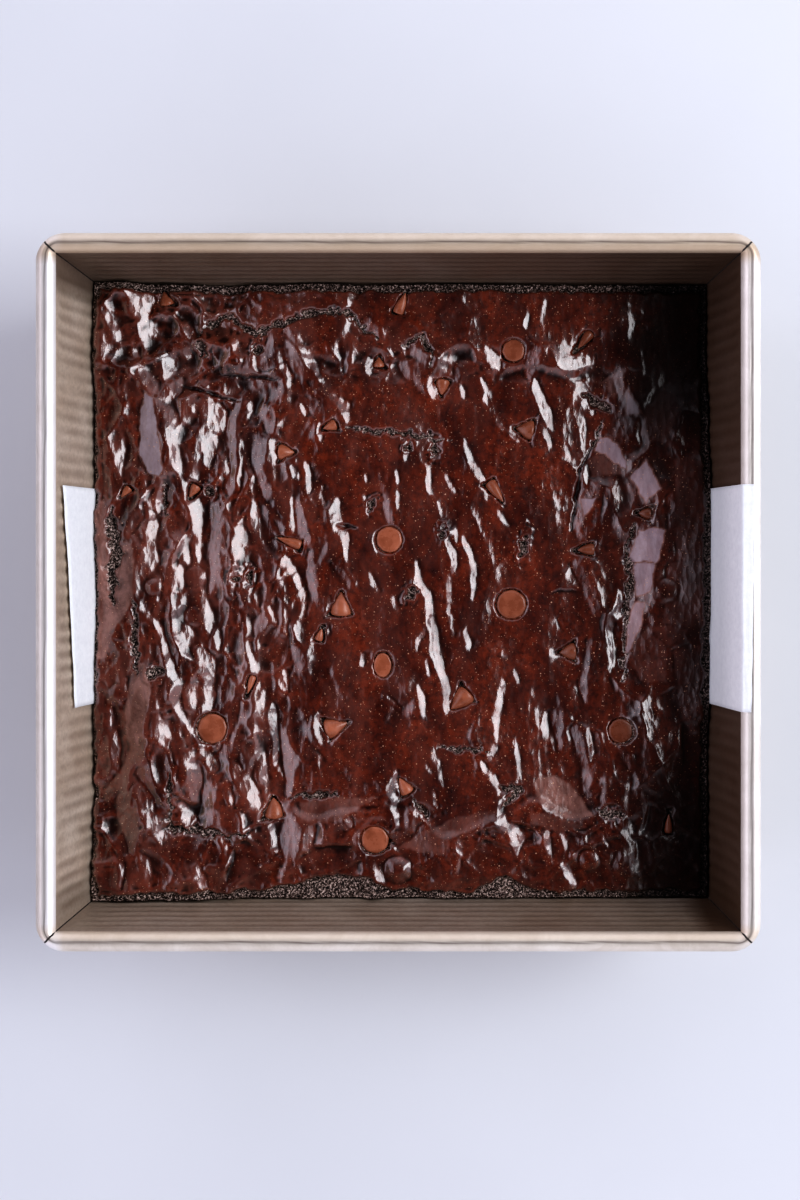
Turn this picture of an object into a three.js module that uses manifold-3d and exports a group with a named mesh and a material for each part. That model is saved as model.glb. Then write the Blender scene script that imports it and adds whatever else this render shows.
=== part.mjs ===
// A square tin of chocolate-chip brownie, baked whole and not yet cut. The tin is fluted sheet with folded
// corners and a rolled rim, a strip of baking paper lines it from side to side, and the slab has a thin
// wrinkled skin with cracks and chips in it.
// Millimetres, +Z up. The origin is the middle of the tin's underside.
import * as THREE from "three";
import { mergeVertices } from "three/addons/utils/BufferGeometryUtils.js";
import Module from "manifold-3d";

const wasm = await Module();
wasm.setup();

// The tin.
const TIN_X = 222;
const TIN_Y = 220;
const TIN_HEIGHT = 60;
const SHEET = 0.9;
const RIM_WIDTH = 6.1;
const RIM_HEIGHT = 5.8;
const RIM_CORNER = 9;
const RIM_CORNER_STEPS = 5;
const RIM_SIDES = 12;
const LEAN_X = 0.172;
const LEAN_Y = 0.129;
const FLUTE_PITCH = 4.35;
const FLUTE_DEPTH = 0.35;
const FLUTE_CREST = 0.05;
const PLAIN_BAND = 2.2;
const SEAM_WIDTH = 0.4;
const SEAM_DEPTH = 1.3;
const JOIN_OVERLAP = 0.1;

// The strip of baking paper.
const PAPER_WIDTH = 69.5;
const PAPER_THICKNESS = 0.35;
const PAPER_MIDDLE_Y = -1.8;
const PAPER_GAP = 0.32;
const PAPER_LEFT_HEIGHT = 50.6;
const PAPER_LEFT_SLANT = 8 / 70;
const PAPER_RIGHT_REACH = 107.8;
const PAPER_RIGHT_SLANT = 2.4 / 70;
const PAPER_CURL_STEPS = 7;
const PAPER_CURL_TURN = 0.75 * Math.PI;

// The slab. Its top is the middle level of the skin, over the tin's underside.
const SLAB_TOP = 27.2;
const SLAB_BOTTOM = 1.95;
const SLAB_GAP = 0.42;
const RECESS_MARGIN = 10;
const SLAB_COLUMNS = 62;
const SLAB_ROWS = 39;
const CELL_JITTER = 0.12;
const BORDER_WIDTH = 27;
const BORDER_RISE = 1.1;
const BORDER_BEND = 7;
const BORDER_BEND_LENGTH = 17;
const BORDER_SLOPE = 6;
const EDGE_DROP = 1.5;
const EDGE_START = 4.5;
const EDGE_END = 0.5;
const EDGE_BEND_LENGTH = 5;
const SWELL = 1.3;
const SWELL_LENGTH = 46;

// Where each kind of fold begins and where it is full, across or along the slab from its middle.
const END_FOLDS_FROM = [64, 80];
const LEFT_FOLDS_FROM = [-20, -44];
const RIGHT_FOLDS_FROM = [42, 60];
const RIGHT_FOLDS_SHARE = 0.8;
const SIDE_FOLDS_AT_ENDS = 0.25;
const FOLD_BEND = 7;
const FOLD_BEND_LENGTH = 19;
const RIPPLE_SHARE = 0.3;
const RIPPLES_ACROSS = 2.1;
const RIPPLES_ALONG = 1.9;
const SIDE_FOLD = { across: 8.5, along: 27, height: 1.3 };
const END_FOLD = { across: 8, along: 25, height: 1.3 };
const MIDDLE_FOLD = { across: 11, along: 30, height: 0.5 };
const FOLD_STEEPNESS = 0.4;
const FOLD_REACH = 1.6;

// The largest folds of the skin, each the side it faces, its width and the points it runs through.
const FOLDS = [
  ["left", 7.9, [-83, -25], [-85, -35], [-86, -45]],
  ["left", 6.0, [-88, 12], [-89, -1], [-94, -12]],
  ["left", 6.4, [81, 22], [77, 8], [81, -5]],
  ["left", 6.2, [79, 42], [80, 29]],
  ["left", 5.0, [66, 48], [74, 40]],
  ["left", 4.7, [57, 9], [61, 0], [63, -8]],
  ["left", 4.0, [62, 32], [58, 18]],
  ["left", 4.9, [76, -11], [74, -22]],
  ["left", 4.6, [44, 80], [41, 70]],
  ["left", 4.3, [61, -56], [60, -67]],
  ["left", 4.0, [50, -41], [56, -53]],
  ["left", 4.6, [-83, 62], [-81, 38]],
  ["left", 3.4, [-61, 27], [-60, 15], [-61, 0]],
  ["left", 3.4, [-52, 65], [-56, 50], [-56, 33]],
  ["left", 4.3, [-45, 48], [-44, 31]],
  ["left", 4.5, [-32, 61], [-19, 55]],
  ["left", 5.2, [-61, -73], [-54, -78]],
  ["left", 4.3, [-36, -72], [-36, -84]],
  ["left", 3.8, [-89, -67], [-86, -83]],
  ["left", 3.5, [-29, 11], [-28, -5]],
  ["left", 3.4, [61, -16], [60, -36]],
  ["left", 4.2, [90, -19], [90, -38]],
  ["left", 3.2, [-22, -68], [-5, -64]],
  ["right", 5.5, [-85, 97], [-84, 86]],
  ["right", 4.6, [-63, 61], [-66, 44]],
  ["right", 3.4, [-85, 72], [-78, 59]],
  ["right", 3.4, [-75, 52], [-70, 33]],
  ["right", 3.6, [-70, 35], [-67, 22], [-66, 8]],
  ["right", 4.4, [-80, 16], [-85, 1]],
  ["right", 3.4, [-81, -8], [-70, -33]],
  ["right", 4.0, [-65, -19], [-62, -37]],
  ["right", 3.6, [-54, -58], [-47, -69]],
  ["right", 3.2, [-51, -18], [-47, -36]],
  ["right", 3.2, [-42, -37], [-41, -57]],
  ["right", 3.8, [-21, 28], [-19, 10]],
  ["right", 3.9, [10, -8], [11, -20], [15, -38]],
  ["right", 3.6, [5, 10], [10, -9]],
  ["right", 3.4, [14, 5], [17, -15]],
  ["right", 3.6, [33, -29], [31, -47]],
  ["right", 3.4, [21, 49], [28, 31]],
  ["right", 3.8, [44, 69], [49, 52]],
  ["right", 5.0, [50, 79], [56, 67]],
  ["right", 4.8, [30, -71], [37, -85]],
  ["right", 4.1, [31, 77], [30, 69]],
  ["right", 3.4, [60, -72], [75, -88]],
];

// Chips that lie point down and show their flat base, each x, y, length, width and bearing.
const BASE_CHIPS = [
  [35.6, -4.7, 9.7, 9.4, 0],
  [-61.5, -44.8, 9.7, 9.7, 0],
  [-4.1, 16.5, 8.3, 8.3, 0],
  [71.1, -45.6, 7.8, 7.8, 0],
  [36.3, 78.1, 7.1, 7.1, 0],
  [-8.7, -80.6, 8.8, 8.6, 0],
  [-6.2, -24.3, 7.6, 5.6, 90],
];

// Chips that lie on their side in a torn pocket. Each is the middle of its base, its length to the tip, the
// width of its base and the bearing of its tip in degrees from +X.
const SIDE_CHIPS = [
  [-19.7, -7.7, 7.8, 7.1, 90],
  [-24.2, -45.3, 7.6, 6.8, 20],
  [21.5, -33.6, 7.8, 6.5, -138],
  [2.0, -65.4, 5.7, 4.5, 121],
  [-41.4, -73.5, 6.5, 6.5, 93],
  [42.3, 52.0, 5.6, 6.8, 170],
  [-39.8, 44.9, 5.2, 5.2, 0],
  [62.4, 13.4, 5.5, 3.6, -177],
  [80.5, 24.8, 3.9, 3.9, 175],
  [56.2, -20.0, 5.2, 5.5, -176],
  [13.2, 68.2, 4.9, 4.5, -94],
  [-7.5, 72.8, 3.2, 3.2, 90],
  [-21.6, 54.0, 4.5, 3.2, -159],
  [28.6, 35.2, 8.2, 3.6, -56],
  [61.4, 83.8, 7.1, 2.9, -129],
  [86.4, -78.4, 6.5, 2.3, 90],
  [-48.2, -27.8, 6.1, 1.9, -106],
  [-66.7, 33.9, 4.5, 2.9, -120],
  [-76.5, 92.9, 4.6, 4.9, 102],
  [-1.2, 90.0, 7.3, 3.6, 69],
  [-33.0, 14.7, 8.2, 2.9, 162],
  [-27.1, -16.1, 4.1, 2.3, 72],
  [-88.1, 33.2, 4.2, 2.3, -129],
];

// Chips that the skin covers, each x, y, width and how far it stands up.
const COVERED_CHIPS = [
  [-1.2, -90.0, 8.8, 1.9],
  [-79.4, 1.1, 5.6, 0.8],
  [85.4, -0.1, 8.0, 0.7],
  [-66.7, 4.5, 7.0, 0.6],
  [-66.7, -8.3, 7.0, 0.6],
  [-90.7, -33.0, 6.5, 0.7],
  [60.4, -87.1, 6.8, 0.9],
];
const CHIP_SIDES = 8;
const CHIP_PITCH = 13;
const SIDE_CHIP_SUNK = 0.3;
const BASE_CHIP_PROUD = 0.8;
const BASE_CHIP_SQUATNESS = 0.8;
const POCKET_DEPTH = 1.2;
const POCKET_MARGIN = 2;
const POCKET_STEEPNESS = 1.8;

// Cracks in the skin, each a width and the points it runs through.
const CRACKS = [
  [2.6, [-66.4, 82.8], [-57.3, 90], [-47.6, 82.8], [-36.2, 87.8], [-28, 90.3], [-18.1, 90.3], [-7.7, 81.5]],
  [2.4, [0.1, 79.6], [7.2, 82.5], [10.2, 73.4]],
  [1.2, [-18.1, 52.3], [1.1, 51.1], [15.7, 48.8]],
  [4.0, [-93.4, 25.8], [-92.0, 14.0], [-93.0, 5.0], [-92.6, -4.1]],
  [2.0, [-85.0, -2.8], [-85.4, -16.1], [-84.7, -27.1]],
  [2.0, [-73.7, -56.6], [-74.2, -76.4], [-66.1, -78.0], [-50.0, -79.0]],
  [1.8, [-36.2, -67.7], [-19.8, -65.4]],
  [2.0, [63.5, 48.8], [58.4, 39.4], [57.5, 30.3], [55.6, 19.9]],
  [2.4, [76.0, 21.9], [73.4, 12.5], [74.7, 4.7], [73.4, -9.3], [71.9, -29.7]],
  [1.6, [12.0, -51.1], [28.4, -51.8]],
];
const CRACK_DEPTH = 2.4;
const CRACK_CLEARANCE = 4;
const CRACK_END_SHARE = 0.25;
const CRACK_WAVER = 0.35;

const OPENING_X = TIN_X - 2 * RIM_WIDTH;
const OPENING_Y = TIN_Y - 2 * RIM_WIDTH;
const RIM_MIDDLE = TIN_HEIGHT - RIM_HEIGHT / 2;
const BAND_BOTTOM = RIM_MIDDLE - PLAIN_BAND;

// Half the cavity's length and width at a height: the walls lean out as they rise.
const cavityX = (z) => OPENING_X / 2 - LEAN_X * (RIM_MIDDLE - z);
const cavityY = (z) => OPENING_Y / 2 - LEAN_Y * (RIM_MIDDLE - z);

// A closed geometry as a solid for the joins and cuts, turned face out if it was inside out.
function solidOf(geometry) {
  const bare = geometry.clone();
  for (const name of ["normal", "uv"]) bare.deleteAttribute(name);
  const merged = mergeVertices(bare, 1e-4);
  const corners = Array.from(merged.index.array);
  const kept = [];
  for (let i = 0; i < corners.length; i += 3) {
    const [a, b, c] = corners.slice(i, i + 3);
    if (a !== b && b !== c && c !== a) kept.push(a, b, c);
  }
  const make = (triangles) =>
    new wasm.Manifold(
      new wasm.Mesh({
        numProp: 3,
        vertProperties: new Float32Array(merged.attributes.position.array),
        triVerts: new Uint32Array(triangles),
      }),
    );
  const solid = make(kept);
  return solid.volume() < 0 ? make(kept.reverse()) : solid;
}

// A solid as a geometry with flat facets.
function geometryOf(solid) {
  const mesh = solid.getMesh();
  const geometry = new THREE.BufferGeometry();
  geometry.setAttribute("position", new THREE.BufferAttribute(new Float32Array(mesh.vertProperties), 3));
  geometry.setIndex(new THREE.BufferAttribute(new Uint32Array(mesh.triVerts), 1));
  const faceted = geometry.toNonIndexed();
  faceted.computeVertexNormals();
  return faceted;
}

const joined = (solids) => solids.reduce((whole, next) => whole.add(next));

// An outline pushed along a straight line. The axes say where the outline's x, its y and the push go.
function pushed(outline, length, xAxis, yAxis, pushAxis) {
  const shape = new THREE.Shape(outline.map(([x, y]) => new THREE.Vector2(x, y)));
  const geometry = new THREE.ExtrudeGeometry(shape, { depth: length, bevelEnabled: false });
  geometry.applyMatrix4(new THREE.Matrix4().makeBasis(xAxis, yAxis, pushAxis));
  return geometry;
}

const X = new THREE.Vector3(1, 0, 0);
const Y = new THREE.Vector3(0, 1, 0);
const Z = new THREE.Vector3(0, 0, 1);

// How far a flute's fold lies out from the wall's face: crests stand a hair inside it.
const fluteOffset = (fold) => (fold % 2 === 0 ? -FLUTE_CREST : FLUTE_DEPTH);

// The space between the two end walls, whose flutes run along the rim.
function betweenEndWalls(out, low, high) {
  const folds = 2 * Math.floor((high - low) / FLUTE_PITCH);
  const side = [];
  for (let fold = 0; fold <= folds; fold++) {
    const z = low + ((high - low) * fold) / folds;
    side.push([cavityY(z) + out + fluteOffset(fold), z]);
  }
  const other = side.map(([y, z]) => [-y, z]).reverse();
  const geometry = pushed([...side, ...other], 2 * TIN_X, Y, Z, X);
  return solidOf(geometry.translate(-TIN_X, 0, 0));
}

// The space inside one side wall, whose flutes run up it. The turn is 0 for the +X wall, PI for the -X one.
function insideSideWall(out, low, high, turn) {
  const folds = 2 * Math.ceil(TIN_Y / 2 / FLUTE_PITCH);
  const outline = [
    [-TIN_X, (folds * FLUTE_PITCH) / 2],
    [-TIN_X, (-folds * FLUTE_PITCH) / 2],
  ];
  for (let fold = -folds; fold <= folds; fold++) {
    outline.push([cavityX(low) + out + fluteOffset(fold), (fold * FLUTE_PITCH) / 2]);
  }
  const geometry = pushed(outline, high - low, X, Y, Z);
  const lean = new THREE.Matrix4().makeShear(0, 0, 0, 0, LEAN_X, 0);
  geometry.applyMatrix4(lean).translate(0, 0, low).rotateZ(turn);
  return solidOf(geometry);
}

// The plain band above the flutes, and above the rim's middle a straight-sided block.
function plainBand(out, low, high) {
  const geometry = new THREE.BoxGeometry(2, 2, 1);
  const points = geometry.attributes.position;
  for (let i = 0; i < points.count; i++) {
    const z = points.getZ(i) > 0 ? high : low;
    points.setXYZ(i, points.getX(i) * (cavityX(z) + out), points.getY(i) * (cavityY(z) + out), z);
  }
  return solidOf(geometry);
}

// The whole of what the walls hold, moved out by a distance and down to a level.
function tinCore(out, low) {
  const fluted = betweenEndWalls(out, low, BAND_BOTTOM)
    .intersect(insideSideWall(out, low, BAND_BOTTOM, 0))
    .intersect(insideSideWall(out, low, BAND_BOTTOM, Math.PI));
  return fluted.add(plainBand(out, BAND_BOTTOM - JOIN_OVERLAP, RIM_MIDDLE));
}

// The rolled rim: an oval bar whose inner edge keeps the opening's sharp corners and whose outer edge is
// rounded at them.
function rimRoll() {
  const positions = [];
  const turns = [
    [1, 1],
    [-1, 1],
    [-1, -1],
    [1, -1],
  ];
  turns.forEach(([sx, sy], corner) => {
    for (let step = 0; step <= RIM_CORNER_STEPS; step++) {
      const angle = ((corner + step / RIM_CORNER_STEPS) * Math.PI) / 2;
      const outerX = sx * (TIN_X / 2 - RIM_CORNER) + RIM_CORNER * Math.cos(angle);
      const outerY = sy * (TIN_Y / 2 - RIM_CORNER) + RIM_CORNER * Math.sin(angle);
      const innerX = (sx * OPENING_X) / 2;
      const innerY = (sy * OPENING_Y) / 2;
      for (let side = 0; side < RIM_SIDES; side++) {
        const round = (side / RIM_SIDES) * 2 * Math.PI;
        const out = (1 - Math.cos(round)) / 2;
        const x = THREE.MathUtils.lerp(innerX, outerX, out);
        const y = THREE.MathUtils.lerp(innerY, outerY, out);
        positions.push(x, y, RIM_MIDDLE + (RIM_HEIGHT / 2) * Math.sin(round));
      }
    }
  });
  const stations = positions.length / 3 / RIM_SIDES;
  const corners = [];
  for (let station = 0; station < stations; station++) {
    const next = (station + 1) % stations;
    for (let side = 0; side < RIM_SIDES; side++) {
      const above = (side + 1) % RIM_SIDES;
      const a = station * RIM_SIDES + side;
      const b = next * RIM_SIDES + side;
      const c = next * RIM_SIDES + above;
      const d = station * RIM_SIDES + above;
      corners.push(a, b, c, a, c, d);
    }
  }
  const geometry = new THREE.BufferGeometry();
  geometry.setAttribute("position", new THREE.Float32BufferAttribute(positions, 3));
  geometry.setIndex(corners);
  return solidOf(geometry);
}

// The narrow slits on the rim's crest where the sides of the tin meet at each corner.
function rimSeams() {
  const length = 2 * RIM_WIDTH;
  const seams = [];
  for (const [sx, sy] of [[1, 1], [-1, 1], [-1, -1], [1, -1]]) {
    const geometry = new THREE.BoxGeometry(length, SEAM_WIDTH, 2 * SEAM_DEPTH);
    geometry.rotateZ(Math.atan2(sy, sx));
    const reach = length / 2 / Math.SQRT2;
    geometry.translate((sx * OPENING_X) / 2 + sx * reach, (sy * OPENING_Y) / 2 + sy * reach, TIN_HEIGHT);
    seams.push(solidOf(geometry));
  }
  return joined(seams);
}

function bakingTin() {
  const shell = tinCore(SHEET, 0).subtract(tinCore(0, SHEET));
  return shell.add(rimRoll()).subtract(rimSeams());
}

// A thin strip's outline either side of the line through some points.
function stripOutline(points, thickness) {
  const sides = [[], []];
  points.forEach((point, i) => {
    const before = points[Math.max(i - 1, 0)];
    const after = points[Math.min(i + 1, points.length - 1)];
    const into = new THREE.Vector2(point[0] - before[0], point[1] - before[1]).normalize();
    const away = new THREE.Vector2(after[0] - point[0], after[1] - point[1]).normalize();
    const along = into.add(away).normalize();
    const segment = i > 0 ? [before, point] : [point, after];
    const [[fromX, fromY], [toX, toY]] = segment;
    const straight = new THREE.Vector2(toX - fromX, toY - fromY).normalize();
    const reach = thickness / 2 / along.dot(straight);
    sides[0].push([point[0] - along.y * reach, point[1] + along.x * reach]);
    sides[1].unshift([point[0] + along.y * reach, point[1] - along.x * reach]);
  });
  return [...sides[0], ...sides[1]];
}

// The paper's line across the tin, in X and Z: down the left wall, under the slab, up the right wall and
// over the inner half of the rim.
function paperLine() {
  const off = PAPER_GAP + PAPER_THICKNESS / 2;
  const floor = SHEET + off;
  const line = [
    [-(cavityX(TIN_HEIGHT) - off), TIN_HEIGHT],
    [-(cavityX(floor) - off), floor],
    [cavityX(floor) - off, floor],
  ];
  const curlX = RIM_WIDTH / 2 + off;
  const curlZ = RIM_HEIGHT / 2 + off;
  for (let step = 0; step <= PAPER_CURL_STEPS; step++) {
    const angle = Math.PI - (PAPER_CURL_TURN * step) / PAPER_CURL_STEPS;
    const x = OPENING_X / 2 + RIM_WIDTH / 2 + curlX * Math.cos(angle);
    line.push([x, RIM_MIDDLE + curlZ * Math.sin(angle)]);
  }
  return line;
}

function parchmentSling() {
  const outline = stripOutline(paperLine(), PAPER_THICKNESS);
  const strip = pushed(outline, PAPER_WIDTH, X, Z, Y.clone().negate());
  strip.translate(0, PAPER_MIDDLE_Y + PAPER_WIDTH / 2, 0);
  const block = 40;
  const leftEnd = new THREE.BoxGeometry(block, 2 * PAPER_WIDTH, block).translate(0, 0, block / 2);
  leftEnd.rotateX(Math.atan(PAPER_LEFT_SLANT));
  leftEnd.translate(-OPENING_X / 2, PAPER_MIDDLE_Y, PAPER_LEFT_HEIGHT);
  const rightEnd = new THREE.BoxGeometry(block, 2 * PAPER_WIDTH, block).translate(block / 2, 0, 0);
  rightEnd.rotateZ(-Math.atan(PAPER_RIGHT_SLANT));
  rightEnd.translate(PAPER_RIGHT_REACH, PAPER_MIDDLE_Y, TIN_HEIGHT);
  return solidOf(strip).subtract(solidOf(leftEnd)).subtract(solidOf(rightEnd));
}

// A number from 0 to 1 that depends only on a grid place and a seed.
function scatter(column, row, seed) {
  let mixed = Math.imul(column, 374761393) ^ Math.imul(row, 668265263) ^ Math.imul(seed, 974634777);
  mixed = Math.imul(mixed ^ (mixed >>> 13), 1274126177);
  return ((mixed ^ (mixed >>> 16)) >>> 0) / 4294967295;
}

// Smooth noise from 0 to 1, one bump to a unit.
function noise(x, y, seed) {
  const column = Math.floor(x);
  const row = Math.floor(y);
  const ease = (t) => t * t * t * (t * (6 * t - 15) + 10);
  const right = ease(x - column);
  const up = ease(y - row);
  const { lerp } = THREE.MathUtils;
  const low = lerp(scatter(column, row, seed), scatter(column + 1, row, seed), right);
  const high = lerp(scatter(column, row + 1, seed), scatter(column + 1, row + 1, seed), right);
  return lerp(low, high, up);
}

// Sharp-crested folds from -0.5 to 0.5, long one way and narrow the other.
function creases(x, y, lengthX, lengthY, seed) {
  const [placeX, placeY] = [x / FOLD_BEND_LENGTH, y / FOLD_BEND_LENGTH];
  const bentX = x + FOLD_BEND * (2 * noise(placeX, placeY, seed + 1) - 1);
  const bentY = y + FOLD_BEND * (2 * noise(placeX, placeY, seed + 2) - 1);
  const wave = noise(bentX / lengthX, bentY / lengthY, seed);
  const ripple = noise((RIPPLES_ACROSS * bentX) / lengthX, (RIPPLES_ALONG * bentY) / lengthY, seed + 3);
  const crest = (value) => 0.5 - Math.abs(2 * value - 1);
  return (1 - RIPPLE_SHARE) * crest(wave) + RIPPLE_SHARE * crest(ripple);
}

// From 0 to 1 as a value goes from one bound to the other, with soft ends.
function rise(from, to, value) {
  const share = THREE.MathUtils.clamp((value - from) / (to - from), 0, 1);
  return share * share * (3 - 2 * share);
}

// How the largest folds lift and sink the skin. Each leans from a crest on one side to a dip on the other.
function foldRelief(x, y) {
  let height = 0;
  for (const [facing, width, ...points] of FOLDS) {
    for (let i = 1; i < points.length; i++) {
      const [ax, ay] = points[i - 1];
      const [bx, by] = points[i];
      const span = (bx - ax) ** 2 + (by - ay) ** 2;
      const along = ((x - ax) * (bx - ax) + (y - ay) * (by - ay)) / span;
      const reach = Math.max(0, -along, along - 1) * Math.sqrt(span);
      const away = (x - ax - along * (bx - ax)) / width;
      if (Math.abs(away) > FOLD_REACH || reach > width) continue;
      const lean = away * Math.exp((1 - 4 * away * away) / 2) * (facing === "left" ? 1 : -1);
      height += FOLD_STEEPNESS * width * lean * rise(width / 2, 0, reach);
    }
  }
  return height;
}

// The place halfway from a chip's base to its tip.
function chipMiddle([x, y, length, , bearing]) {
  const angle = THREE.MathUtils.degToRad(bearing);
  return [x + (length / 2) * Math.cos(angle), y + (length / 2) * Math.sin(angle)];
}

// How far each chip lifts or sinks the skin round it.
function chipRelief(x, y) {
  let height = 0;
  for (const row of SIDE_CHIPS) {
    const [middleX, middleY] = chipMiddle(row);
    const reach = (row[2] + row[3]) / 2 + POCKET_MARGIN;
    const away = Math.hypot(x - middleX, y - middleY) / reach;
    height -= POCKET_DEPTH * Math.exp(-((POCKET_STEEPNESS * away) ** 2));
  }
  for (const [chipX, chipY, length] of BASE_CHIPS) {
    const away = Math.hypot(x - chipX, y - chipY) / (length + POCKET_MARGIN);
    height -= (POCKET_DEPTH / 3) * Math.exp(-((POCKET_STEEPNESS * away) ** 2));
  }
  for (const [chipX, chipY, width, stand] of COVERED_CHIPS) {
    const away = Math.hypot(x - chipX, y - chipY) / (width / 2);
    height += stand * Math.max(0, 1 - away ** 2);
  }
  return height;
}

// The skin's height over the tin's underside.
function skinHeight(x, y) {
  const inset = Math.min(cavityX(SLAB_TOP) - Math.abs(x), cavityY(SLAB_TOP) - Math.abs(y));
  const uneven = (length, seed) => 2 * noise(x / length, y / length, seed) - 1;
  const swell = SWELL * uneven(SWELL_LENGTH, 5);
  const ragged = inset + BORDER_BEND * uneven(BORDER_BEND_LENGTH, 9);
  const border = BORDER_RISE * rise(BORDER_SLOPE / 2, -BORDER_SLOPE / 2, ragged - BORDER_WIDTH);
  const edge = EDGE_DROP * rise(EDGE_START, EDGE_END, inset + uneven(EDGE_BEND_LENGTH, 11));
  const ends = rise(...END_FOLDS_FROM, Math.abs(y));
  const across = Math.max(rise(...LEFT_FOLDS_FROM, x), RIGHT_FOLDS_SHARE * rise(...RIGHT_FOLDS_FROM, x));
  const sides = across * THREE.MathUtils.lerp(1, SIDE_FOLDS_AT_ENDS, ends);
  const middle = (1 - ends) * (1 - sides);
  const folds =
    sides * SIDE_FOLD.height * creases(x, y, SIDE_FOLD.across, SIDE_FOLD.along, 21) +
    ends * END_FOLD.height * creases(x, y, END_FOLD.along, END_FOLD.across, 31) +
    middle * MIDDLE_FOLD.height * creases(x, y, MIDDLE_FOLD.across, MIDDLE_FOLD.along, 41);
  return SLAB_TOP + swell + border - edge + folds + foldRelief(x, y) + chipRelief(x, y);
}

// The slab without its chips and cracks: a grid of skin with leaning sides and a flat bottom.
function slabBody() {
  const positions = [];
  const corners = [];
  const at = (i, j) => j * (SLAB_COLUMNS + 1) + i;
  const inside = (i, j) => i > 0 && i < SLAB_COLUMNS && j > 0 && j < SLAB_ROWS;
  const reachX = (z) => cavityX(z) - SLAB_GAP;
  const reachY = (z) => cavityY(z) - SLAB_GAP;
  for (let j = 0; j <= SLAB_ROWS; j++) {
    for (let i = 0; i <= SLAB_COLUMNS; i++) {
      const shiftI = inside(i, j) ? CELL_JITTER * (2 * scatter(i, j, 61) - 1) : 0;
      const shiftJ = inside(i, j) ? CELL_JITTER * (2 * scatter(i, j, 62) - 1) : 0;
      const u = (2 * (i + shiftI)) / SLAB_COLUMNS - 1;
      const v = (2 * (j + shiftJ)) / SLAB_ROWS - 1;
      const z = skinHeight(u * reachX(SLAB_TOP), v * reachY(SLAB_TOP));
      positions.push(u * reachX(z), v * reachY(z), z);
    }
  }
  for (let j = 0; j < SLAB_ROWS; j++) {
    for (let i = 0; i < SLAB_COLUMNS; i++) {
      const [a, b, c, d] = [at(i, j), at(i + 1, j), at(i + 1, j + 1), at(i, j + 1)];
      const midX = (positions[3 * a] + positions[3 * c]) / 2;
      const midY = (positions[3 * a + 1] + positions[3 * c + 1]) / 2;
      const middle = skinHeight(midX, midY);
      const rising = Math.abs((positions[3 * a + 2] + positions[3 * c + 2]) / 2 - middle);
      const falling = Math.abs((positions[3 * b + 2] + positions[3 * d + 2]) / 2 - middle);
      if (rising < falling) corners.push(a, b, c, a, c, d);
      else corners.push(a, b, d, b, c, d);
    }
  }
  const bottom = (u, v) => {
    positions.push(u * reachX(SLAB_BOTTOM), v * reachY(SLAB_BOTTOM), SLAB_BOTTOM);
    return positions.length / 3 - 1;
  };
  const feet = [bottom(-1, -1), bottom(1, -1), bottom(1, 1), bottom(-1, 1)];
  const middles = [bottom(0, -1), bottom(1, 0), bottom(0, 1), bottom(-1, 0)];
  const [columns, rows] = [SLAB_COLUMNS, SLAB_ROWS];
  const edges = [
    [columns, (k) => at(k, 0)],
    [rows, (k) => at(columns, k)],
    [columns, (k) => at(columns - k, rows)],
    [rows, (k) => at(0, rows - k)],
  ];
  edges.forEach(([cells, edge], side) => {
    const middle = middles[side];
    const [from, to] = [feet[side], feet[(side + 1) % 4]];
    for (let k = 0; k < cells; k++) corners.push(edge(k + 1), edge(k), middle);
    corners.push(edge(0), from, middle, edge(cells), middle, to);
  });
  corners.push(middles[0], middles[2], middles[1], middles[0], middles[3], middles[2]);
  feet.forEach((foot, side) => corners.push(foot, middles[(side + 3) % 4], middles[side]));
  const geometry = new THREE.BufferGeometry();
  geometry.setAttribute("position", new THREE.Float32BufferAttribute(positions, 3));
  geometry.setIndex(corners);
  return solidOf(geometry);
}

// A chip's half outline from the middle of its base to its tip, in shares of its half width and its length.
const CHIP_OUTLINE = [[0, 0], [0.85, 0], [1, 0.12], [0.84, 0.4], [0.43, 0.74], [0.12, 0.94], [0, 0.97]];

function chipShape(length, width) {
  const outline = CHIP_OUTLINE.map(([r, h]) => new THREE.Vector2((r * width) / 2, h * length));
  return new THREE.LatheGeometry(outline, CHIP_SIDES);
}

function sideChip(row) {
  const [x, y, length, width, bearing] = row;
  const geometry = chipShape(length, width).rotateZ(-Math.PI / 2);
  geometry.rotateY(-THREE.MathUtils.degToRad(CHIP_PITCH)).rotateZ(THREE.MathUtils.degToRad(bearing));
  const level = skinHeight(...chipMiddle(row)) + POCKET_DEPTH / 2;
  return solidOf(geometry.translate(x, y, level - SIDE_CHIP_SUNK * width));
}

function baseChip([x, y, length, width, bearing]) {
  const geometry = chipShape(BASE_CHIP_SQUATNESS * width, width).rotateX(-Math.PI / 2);
  geometry.scale(length / width, 1, 1);
  geometry.rotateZ(THREE.MathUtils.degToRad(bearing));
  return solidOf(geometry.translate(x, y, skinHeight(x, y) + BASE_CHIP_PROUD));
}

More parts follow.
